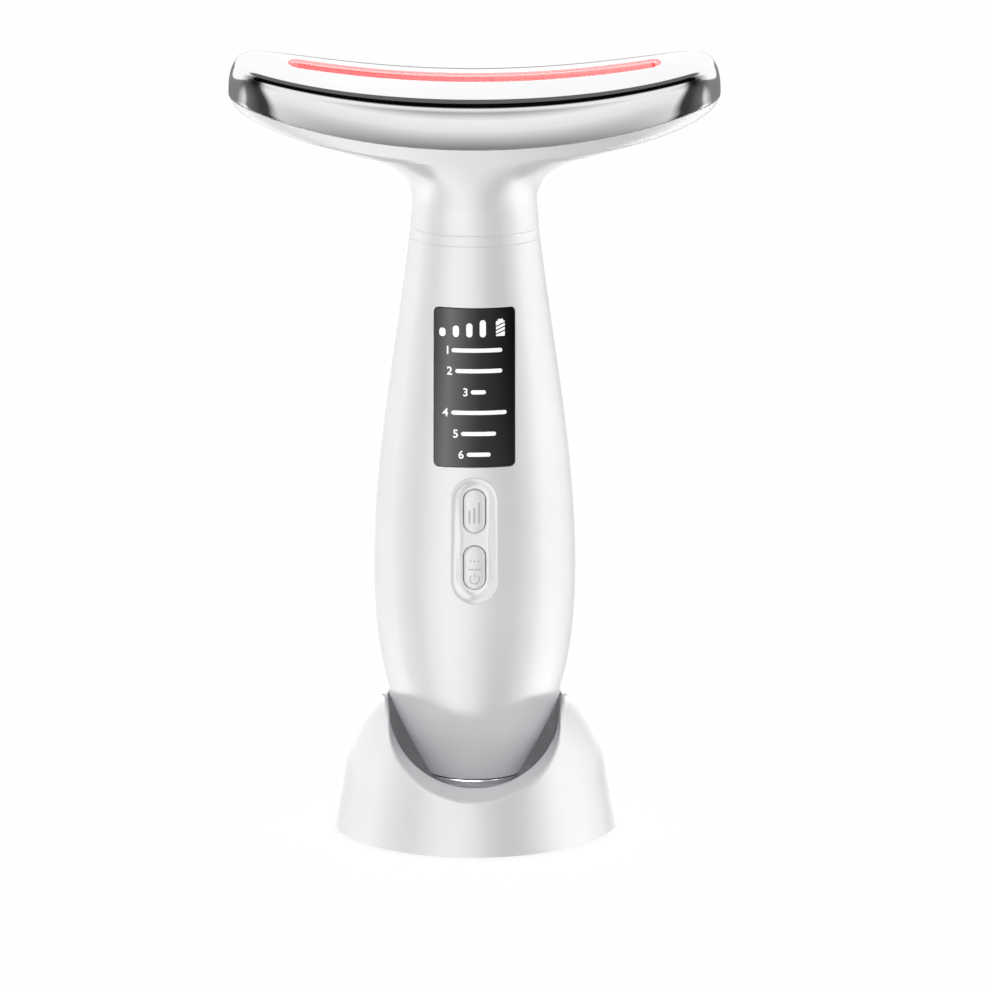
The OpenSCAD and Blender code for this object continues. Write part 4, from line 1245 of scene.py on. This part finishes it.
def scoop_at(share, grow=0.0):
    """The scoop's outline from its lowest point up its side: (half width, height) for 0 to 1."""
    depth = SCOOP_SIDE_Z - SCOOP_Z + grow
    flare_z = RIM_Z - HORN_R - grow
    if share < 0.7:
        turn = math.pi / 2 * (1 - share / 0.7)
        return (SCOOP_R + grow) * math.cos(turn), SCOOP_SIDE_Z - depth * math.sin(turn)
    if share < 0.8:
        return SCOOP_R + grow, SCOOP_SIDE_Z + (flare_z - SCOOP_SIDE_Z) * (share - 0.7) / 0.1
    turn = math.pi / 2 * (share - 0.8) / 0.2
    return SCOOP_R + grow + HORN_R * (1 - math.cos(turn)), flare_z + HORN_R * math.sin(turn)


def meeting(limit, sine, grow=0.0):
    """Share of the scoop's outline at which, on this bearing, it reaches the radius limit(z)."""
    low, high = 0.0, 1.0
    half, z = scoop_at(1.0, grow)
    if half / sine <= limit(z):
        return 1.0
    for _ in range(40):
        middle = (low + high) / 2
        half, z = scoop_at(middle, grow)
        if half / sine > limit(z):
            high = middle
        else:
            low = middle
    return (low + high) / 2


def stand_section(bearing, inset):
    """The way over the stand's wall on a bearing from the front, as (radius, height) points from
    the outer edge to the inner one."""
    sine = max(math.sin(abs(bearing)), 1e-4)
    in_front = abs(bearing) < math.pi / 2
    roof = RIM_Z - inset

    def outside(z):
        return dome_r(min(z, roof), inset)

    def pocket_side(z):
        return pocket_wall(z, inset)

    if in_front:
        far = meeting(outside, sine, inset)
        near = min(meeting(pocket_side, sine, inset), far)
        shares = np.linspace(far, near, 14)
        path = [(s[0] / sine, min(s[1], roof)) for s in (scoop_at(k, inset) for k in shares)]
    else:
        path = []
    if not path or path[0][1] >= roof - 1e-6:
        start = (outside(roof), roof)
        end = (max(pocket_side(roof), path[0][0] if path else 0), roof)
        flat = [(start[0] + (end[0] - start[0]) * k / 6, roof) for k in range(7)]
        path = flat + path[1:]
    return resample(path, 16)


def resample(path, count):
    """The same open path as count points evenly spaced along it."""
    path = np.asarray(path, float)
    steps = np.linalg.norm(np.diff(path, axis=0), axis=1)
    along = np.concatenate([[0], np.cumsum(steps)])
    if along[-1] < 1e-9:
        return np.repeat(path[:1], count, 0)
    at_s = np.linspace(0, along[-1], count)
    return np.stack([np.interp(at_s, along, path[:, k]) for k in (0, 1)], 1)


def stand_rows(bearing, inset):
    """One section of the stand from its foot, over the lip and down the pocket's wall, and the
    height where it ends."""
    over = stand_section(bearing, inset)
    low = POCKET_Z - (STAND_WALL if inset else 0)
    outer = [(dome_r(z, inset), z) for z in np.linspace(STAND_LIFT, over[0][1], 34)]
    inner = [(pocket_wall(z, inset), z) for z in np.linspace(over[-1][1], low, 14)]
    path = np.vstack([outer, over[1:-1], inner])
    if inset:
        return resample(path, SECTION_N), low
    outer_edge = len(outer) - 1
    inner_edge = outer_edge + len(over) - 1
    path = fillet(fillet(path, inner_edge, POCKET_ROUND), outer_edge, LIP_ROUND)
    return spaced(path, SECTION_N), low


def fillet(path, corner, radius):
    """Rounds one corner of a path: the points within radius along it give way to an arc."""
    path = np.asarray(path, float)
    steps = np.linalg.norm(np.diff(path, axis=0), axis=1)
    along = np.concatenate([[0], np.cumsum(steps)])
    here = along[corner]
    radius = min(radius, here * 0.9, (along[-1] - here) * 0.9)
    ends = here - radius, here + radius
    a, b = (np.array([np.interp(end, along, path[:, k]) for k in (0, 1)]) for end in ends)
    t = np.linspace(0, 1, 9)[:, None]
    arc = (1 - t) ** 2 * a + 2 * t * (1 - t) * path[corner] + t * t * b
    keep_low, keep_high = path[along < here - radius - 1e-6], path[along > here + radius + 1e-6]
    return np.vstack([keep_low, arc, keep_high])


def spaced(path, count):
    """count points along a path, closer together where it turns."""
    path = np.asarray(path, float)
    keep = np.concatenate([[True], np.linalg.norm(np.diff(path, axis=0), axis=1) > 1e-7])
    path = path[keep]
    d = np.diff(path, axis=0)
    steps = np.linalg.norm(d, axis=1)
    unit = d / steps[:, None]
    turn = np.zeros(len(path))
    turn[1:-1] = np.arccos(np.clip(np.sum(unit[1:] * unit[:-1], 1), -1, 1))
    weight = steps + TURN_WEIGHT * (turn[1:] + turn[:-1]) / 2
    along = np.concatenate([[0], np.cumsum(weight)])
    at_s = np.linspace(0, along[-1], count)
    return np.stack([np.interp(at_s, along, path[:, k]) for k in (0, 1)], 1)


def stand_rings(sections, bearings):
    """Sections of the stand on their bearings from the front, as rings round it."""
    sections = np.array(sections)
    rings = []
    for r, z in zip(sections[:, :, 0].T, sections[:, :, 1].T):
        rings.append(np.stack([r * np.sin(bearings), -r * np.cos(bearings), z], 1))
    return rings


def stand_shell():
    """The stand's outside, lip, pocket and seat, and the same way back inside its wall."""
    bearings = np.linspace(-math.pi, math.pi, STAND_N, endpoint=False)
    foot, seat = FOOT_R + SEAT_FIT, POCKET_Z - SEAT_DEEP
    seat_low = seat - STAND_WALL
    outer, inner = [], []
    for bearing in bearings:
        line, low = stand_rows(bearing, 0.0)
        edge = line[-1][0]
        base = [(edge - 0.5, low), (edge - 3, low), (foot + 1, low), (foot + 0.15, low)]
        base += [(foot, low - 0.12), (foot - 0.02, seat + 0.1), (foot - 0.15, seat)]
        base += [(foot - 2, seat), (3, seat)]
        outer.append(np.vstack([line, base]))
        line, _ = stand_rows(bearing, STAND_WALL)
        base = [(foot + 2, seat_low + SEAT_DEEP), (foot, seat_low), (3, seat_low)]
        inner.append(np.vstack([line, base]))
    return capped(stand_rings(outer, bearings)[::-1] + stand_rings(inner, bearings))


# ---- Pieces ---------------------------------------------------------------

HANDSET_WHITE = ("gloss_white_abs", "handset", "white_shell")
DISPLAY_MARK = ("backlit_white_mark", "handset", "display_black")

# Each piece's name, shape, finish, body and slot, and the CAD node that it stands for
PIECES = [
    ("chrome_head_plate", head_plate(), "chrome_plating", "handset", "chrome_plate", "head_plate"),
    ("milky_light_bar", light_bar(), "milky_light_bar", "handset", "lit_lens", "led_diffuser"),
    ("head_housing_skin", head_housing(), *HANDSET_WHITE, "head_housing"),
    ("neck_collar_band", neck_collar(), *HANDSET_WHITE, "neck_collar"),
    ("front_shell_skin", front_shell(), *HANDSET_WHITE, "front_shell"),
    ("rear_shell_skin", rear_shell(), *HANDSET_WHITE, "rear_shell"),
    (
        "display_window_glass", display_window(),
        "black_acrylic_window", "handset", "display_black", "display_window",
    ),
    ("button_surround_dish", button_surround(), *HANDSET_WHITE, "button_surround"),
    (
        "level_button_cap", button_cap(UPPER_Z),
        "satin_button_abs", "level_button", "white_shell", "level_button",
    ),
    (
        "mode_button_cap", button_cap(LOWER_Z),
        "satin_button_abs", "mode_button", "white_shell", "mode_button",
    ),
    ("level_bar_marks", level_bars(), *DISPLAY_MARK),
    ("battery_mark", battery_mark(), *DISPLAY_MARK),
    *[(f"display_row_{k + 1}", row_marks(k), *DISPLAY_MARK) for k in range(len(ROWS))],
    ("level_button_print", level_button_marks(), "grey_pad_print", "level_button", "white_shell"),
    ("mode_button_print", mode_button_marks(), "grey_pad_print", "mode_button", "white_shell"),
    (
        "cooling_foot_cap", cooling_foot(),
        "polished_steel_foot", "handset", "chrome_plate", "cooling_cap",
    ),
    ("stand_dome_shell", stand_shell(), "stand_white_abs", "stand", "stand_white", "stand_shell"),
]
for parts in PIECES:
    piece(*parts)

# CAD nodes that show as they are, with the finish that each takes
NODE_FINISH = {
    "satin_grey_abs": ["stand_base_plate", "head_frame", "battery_cradle", "motor_bracket"],
    "cast_iron": ["stand_ballast", "eccentric_weight"],
    "soft_rubber": ["stand_foot_ring", "cap_seal"],
    "drawn_steel": ["stand_screws", "board_screws", "vibration_motor", "motor_shaft", "usb_socket"],
    "white_masked_board": ["led_board"],
    "phosphor_lamp": ["led_chips", "display_lamps"],
    "gold_flash": ["electrode_pins"],
    "black_filled_nylon": ["display_light_guide", "level_switch", "mode_switch", "board_chips"],
    "green_masked_board": ["display_board", "main_board", "charging_board"],
    "blue_cell_sleeve": ["battery_cell"],
    "fired_alumina": ["thermoelectric_module"],
    "thermal_gum": ["thermal_pad"],
    "extruded_aluminium": ["heat_sink"],
    "red_silicone_sleeve": [
        "head_leads", "motor_leads", "battery_leads", "charge_leads", "cooler_leads",
    ],
    "amber_film": ["display_ribbon"],
}
for finish_name, members in NODE_FINISH.items():
    for member in members:
        for taken in nodes[member].material_slots:
            taken.material = finish[finish_name]


# ---- Studio ---------------------------------------------------------------

FRAME_PX = 990
PX_PER_MM = 5.16
ELEVATION = math.radians(15)
DISTANCE = 5000.0
# Where the handset's foot falls in the picture
HANDSET_PX = (474.6, 785.0)
SENSOR_MM = 36

# The dome's brightness, by bearing away from the camera's side and by height above the horizon.
# Its low part rises by DOME_TILT for each degree of bearing.
DOME_ROUND = [
    (0, 1.0), (44, 1.0), (52, 0.05), (80, 0.05), (88, 1.0), (150, 1.0), (160, 0.1), (180, 0.2),
]
DOME_LOW = [
    (-70, 0.15), (-40, 0.22), (-28, 0.55), (-16, 0.9), (-3, 1.0), (2, 0.75), (9, 0.3), (15, 0.0),
]
DOME_HIGH_FRONT = [(0, 0.0), (58, 0.0), (66, 0.14), (90, 0.14)]
DOME_HIGH_BACK = [(-12, 0.24), (-5, 0.27), (-3, 1.1), (54, 1.1), (62, 0.14), (90, 0.14)]
DOME_TILT = 0.35
EVEN_LIGHT = 0.68

# Brightness of the soft panels round the set, by bearing from the camera's side, right being positive
PANEL_ROUND = [
    (-180, 2.4), (-140, 1.6), (-90, 5.8), (-54, 3.2), (-26, 7.0), (-8, 6.2),
    (18, 0.8), (36, 0.6), (70, 7.8), (90, 6.8), (138, 1.0), (180, 2.4),
]
WINDOW_ROUND = [
    (-180, 0.0), (-60, 0.6), (-42, 2.0), (-28, 3.8), (-14, 1.9), (-6, 0.9), (0, 0.35), (6, 0.0),
]
PANEL_MAX = 10.0
# The walls of panels, in metres, and the sides that each has
WALL_LOW, WALL_HIGH, WALL_SIDES = -5.5, 9.0, 72
PLASTIC_REACH, WINDOW_REACH = 2.0, 2.3

STRIP_LEVEL = 8.0
# The floor, in metres, lies a hair below the object. The camera sees FLOOR_SHOWN of it as plain white.
FLOOR_HALF, FLOOR_DROP = 6.0, 0.0002
FLOOR_WHITE, FLOOR_SHOWN = 1.08, 0.8


def camera():
    """A long lens above the display side; the handset's foot falls where HANDSET_PX says."""
    data = bpy.data.cameras.new("camera")
    data.sensor_width = SENSOR_MM
    data.lens = SENSOR_MM * DISTANCE / (FRAME_PX / PX_PER_MM)
    data.clip_end = 50
    made = linked("camera", data)
    aim_x = (FRAME_PX / 2 - HANDSET_PX[0]) / PX_PER_MM
    aim_z = SEAT_Z + (HANDSET_PX[1] - FRAME_PX / 2) / (PX_PER_MM * math.cos(ELEVATION))
    back = Vector((0, -math.cos(ELEVATION), math.sin(ELEVATION)))
    made.location = (Vector((aim_x, 0, aim_z)) + back * DISTANCE) * MM
    made.rotation_euler = (math.pi / 2 - ELEVATION, 0, 0)
    scene.camera = made


def levels(tree, factor, low, high, stops):
    """Brightness over a bearing or a height that runs from low to high, from (place, level) stops."""
    share = add(tree, "MapRange", {"Value": factor, "From Min": low, "From Max": high})
    shares = [((place - low) / (high - low), level) for place, level in stops]
    return add(tree, "ValToRGB", {"Fac": share}, stops=shares)


def bearing_of(tree, xyz):
    """Degrees round the set from the camera's side, right being positive."""
    front = add(tree, "Math", {0: xyz["Y"], 1: -1.0}, operation="MULTIPLY")
    turn = add(tree, "Math", {0: xyz["X"], 1: front}, operation="ARCTAN2")
    return add(tree, "Math", {0: turn}, operation="DEGREES")


def world():
    """A white background, even light on everything, and a studio dome that gloss and metal mirror."""
    made = bpy.data.worlds.new("studio")
    scene.world = made
    tree = blank_tree(made)
    way = add(tree, "TexCoord").outputs["Generated"]
    xyz = add(tree, "SeparateXYZ", {"Vector": way}).outputs
    side = add(tree, "Math", {0: bearing_of(tree, xyz)}, operation="ABSOLUTE")
    rise = add(tree, "Math", {0: xyz["Z"]}, operation="ARCSINE")
    height = add(tree, "Math", {0: rise}, operation="DEGREES")
    lifted = add(tree, "Math", {0: side, 1: DOME_TILT, 2: height}, operation="MULTIPLY_ADD")
    low = add(tree, "Mix", {
        "Factor": 1.0,
        "A": levels(tree, side, 0, 180, DOME_ROUND),
        "B": levels(tree, lifted, -90, 90, DOME_LOW),
    }, data_type="RGBA", blend_type="MULTIPLY").outputs["Result"]
    high = add(tree, "Mix", {
        "Factor": levels(tree, side, 0, 180, [(60, 0), (100, 1)]),
        "A": levels(tree, height, -90, 90, DOME_HIGH_FRONT),
        "B": levels(tree, height, -90, 90, DOME_HIGH_BACK),
    }, data_type="RGBA").outputs["Result"]
    both = add(tree, "Mix", {"Factor": 1.0, "A": low, "B": high}, data_type="RGBA", blend_type="ADD")
    dome = add(tree, "Background", {"Color": both.outputs["Result"], "Strength": 1.0})
    even = add(tree, "Background", {"Color": (1, 1, 1, 1), "Strength": EVEN_LIGHT})
    white = add(tree, "Background", {"Color": (1, 1, 1, 1), "Strength": 1.0})
    path = add(tree, "LightPath").outputs
    lit = add(tree, "MixShader", {0: path["Is Glossy Ray"], 1: even, 2: dome})
    shown = add(tree, "MixShader", {0: path["Is Camera Ray"], 1: lit, 2: white})
    add(tree, "OutputWorld", {"Surface": shown})


def softbox_wall(name, reach, stops, receivers):
    """A round wall of soft panels, reach metres away, that shows only as gloss on its receivers."""
    turn = np.linspace(0, 2 * math.pi, WALL_SIDES, endpoint=False)
    points = [(reach * math.sin(t), -reach * math.cos(t), z) for z in (WALL_LOW, WALL_HIGH) for t in turn]
    after = [(i + 1) % WALL_SIDES for i in range(WALL_SIDES)]
    faces = [(i, WALL_SIDES + i, WALL_SIDES + j, j) for i, j in enumerate(after)]
    mesh = bpy.data.meshes.new(name)
    mesh.from_pydata(points, [], faces)
    paint = bpy.data.materials.new(name)
    tree = blank_tree(paint)
    place = add(tree, "NewGeometry").outputs["Position"]
    xyz = add(tree, "SeparateXYZ", {"Vector": place}).outputs
    shares = [(place, level / PANEL_MAX) for place, level in stops]
    glow = levels(tree, bearing_of(tree, xyz), -180, 180, shares)
    lit = add(tree, "Emission", {"Color": glow, "Strength": PANEL_MAX})
    clear = add(tree, "BsdfTransparent")
    both = add(tree, "AddShader", {0: lit, 1: clear})
    add(tree, "OutputMaterial", {"Surface": both})
    mesh.materials.append(paint)
    made = linked(name, mesh)
    made.visible_camera = made.visible_diffuse = made.visible_shadow = made.visible_transmission = False
    made.light_linking.receiver_collection = receivers


def overhead_strip(receivers):
    """A lamp along the top of the set, which draws a pale line of gloss along its receivers."""
    lamp = bpy.data.lights.new("overhead_strip", "AREA")
    lamp.shape = "RECTANGLE"
    lamp.size, lamp.size_y = 3.0, 1.1
    lamp.energy = STRIP_LEVEL * math.pi * lamp.size * lamp.size_y
    made = linked("overhead_strip", lamp)
    made.location = (0, 0.42, 2.0)
    made.rotation_euler = (-0.2, 0, 0)
    made.visible_camera = made.visible_diffuse = False
    made.light_linking.receiver_collection = receivers


def floor():
    """A plain pale floor that shows white and keeps the object's shadow."""
    mesh = bpy.data.meshes.new("floor")
    corners = [(sx * FLOOR_HALF, sy * FLOOR_HALF, 0) for sx, sy in ((-1, -1), (1, -1), (1, 1), (-1, 1))]
    mesh.from_pydata(corners, [], [(0, 1, 2, 3)])
    made = linked("floor", mesh)
    made.location.z = -FLOOR_DROP
    paint = bpy.data.materials.new("pale_floor")
    tree = blank_tree(paint)
    matt = add(tree, "BsdfDiffuse", {"Color": linear("fafafa")})
    white = add(tree, "Emission", {"Color": (1, 1, 1, 1), "Strength": FLOOR_WHITE})
    seen = add(tree, "LightPath").outputs["Is Camera Ray"]
    share = add(tree, "Math", {0: seen, 1: FLOOR_SHOWN}, operation="MULTIPLY")
    both = add(tree, "MixShader", {0: share, 1: matt, 2: white})
    add(tree, "OutputMaterial", {"Surface": both})
    mesh.materials.append(paint)
    made.visible_glossy = made.visible_shadow = False


def group(name, members):
    """A collection of the objects that a lamp or a wall lights."""
    made = bpy.data.collections.new(name)
    for member in members:
        made.objects.link(member)
    return made


camera()
world()
floor()
objects = bpy.data.objects
shown = [o for o in scene.objects if o.type == "MESH" and o.name != "floor"]
apart = {"chrome_head_plate", "head_plate", "display_window_glass"}
plastics = group("gloss_receivers", [o for o in shown if o.name not in apart])
softbox_wall("plastic_panels", PLASTIC_REACH, PANEL_ROUND, plastics)
glass = group("window_receiver", [objects["display_window_glass"]])
softbox_wall("window_panels", WINDOW_REACH, WINDOW_ROUND, glass)
overhead_strip(group("light_bar_receiver", [objects["milky_light_bar"]]))
scene.view_settings.view_transform = "Standard"
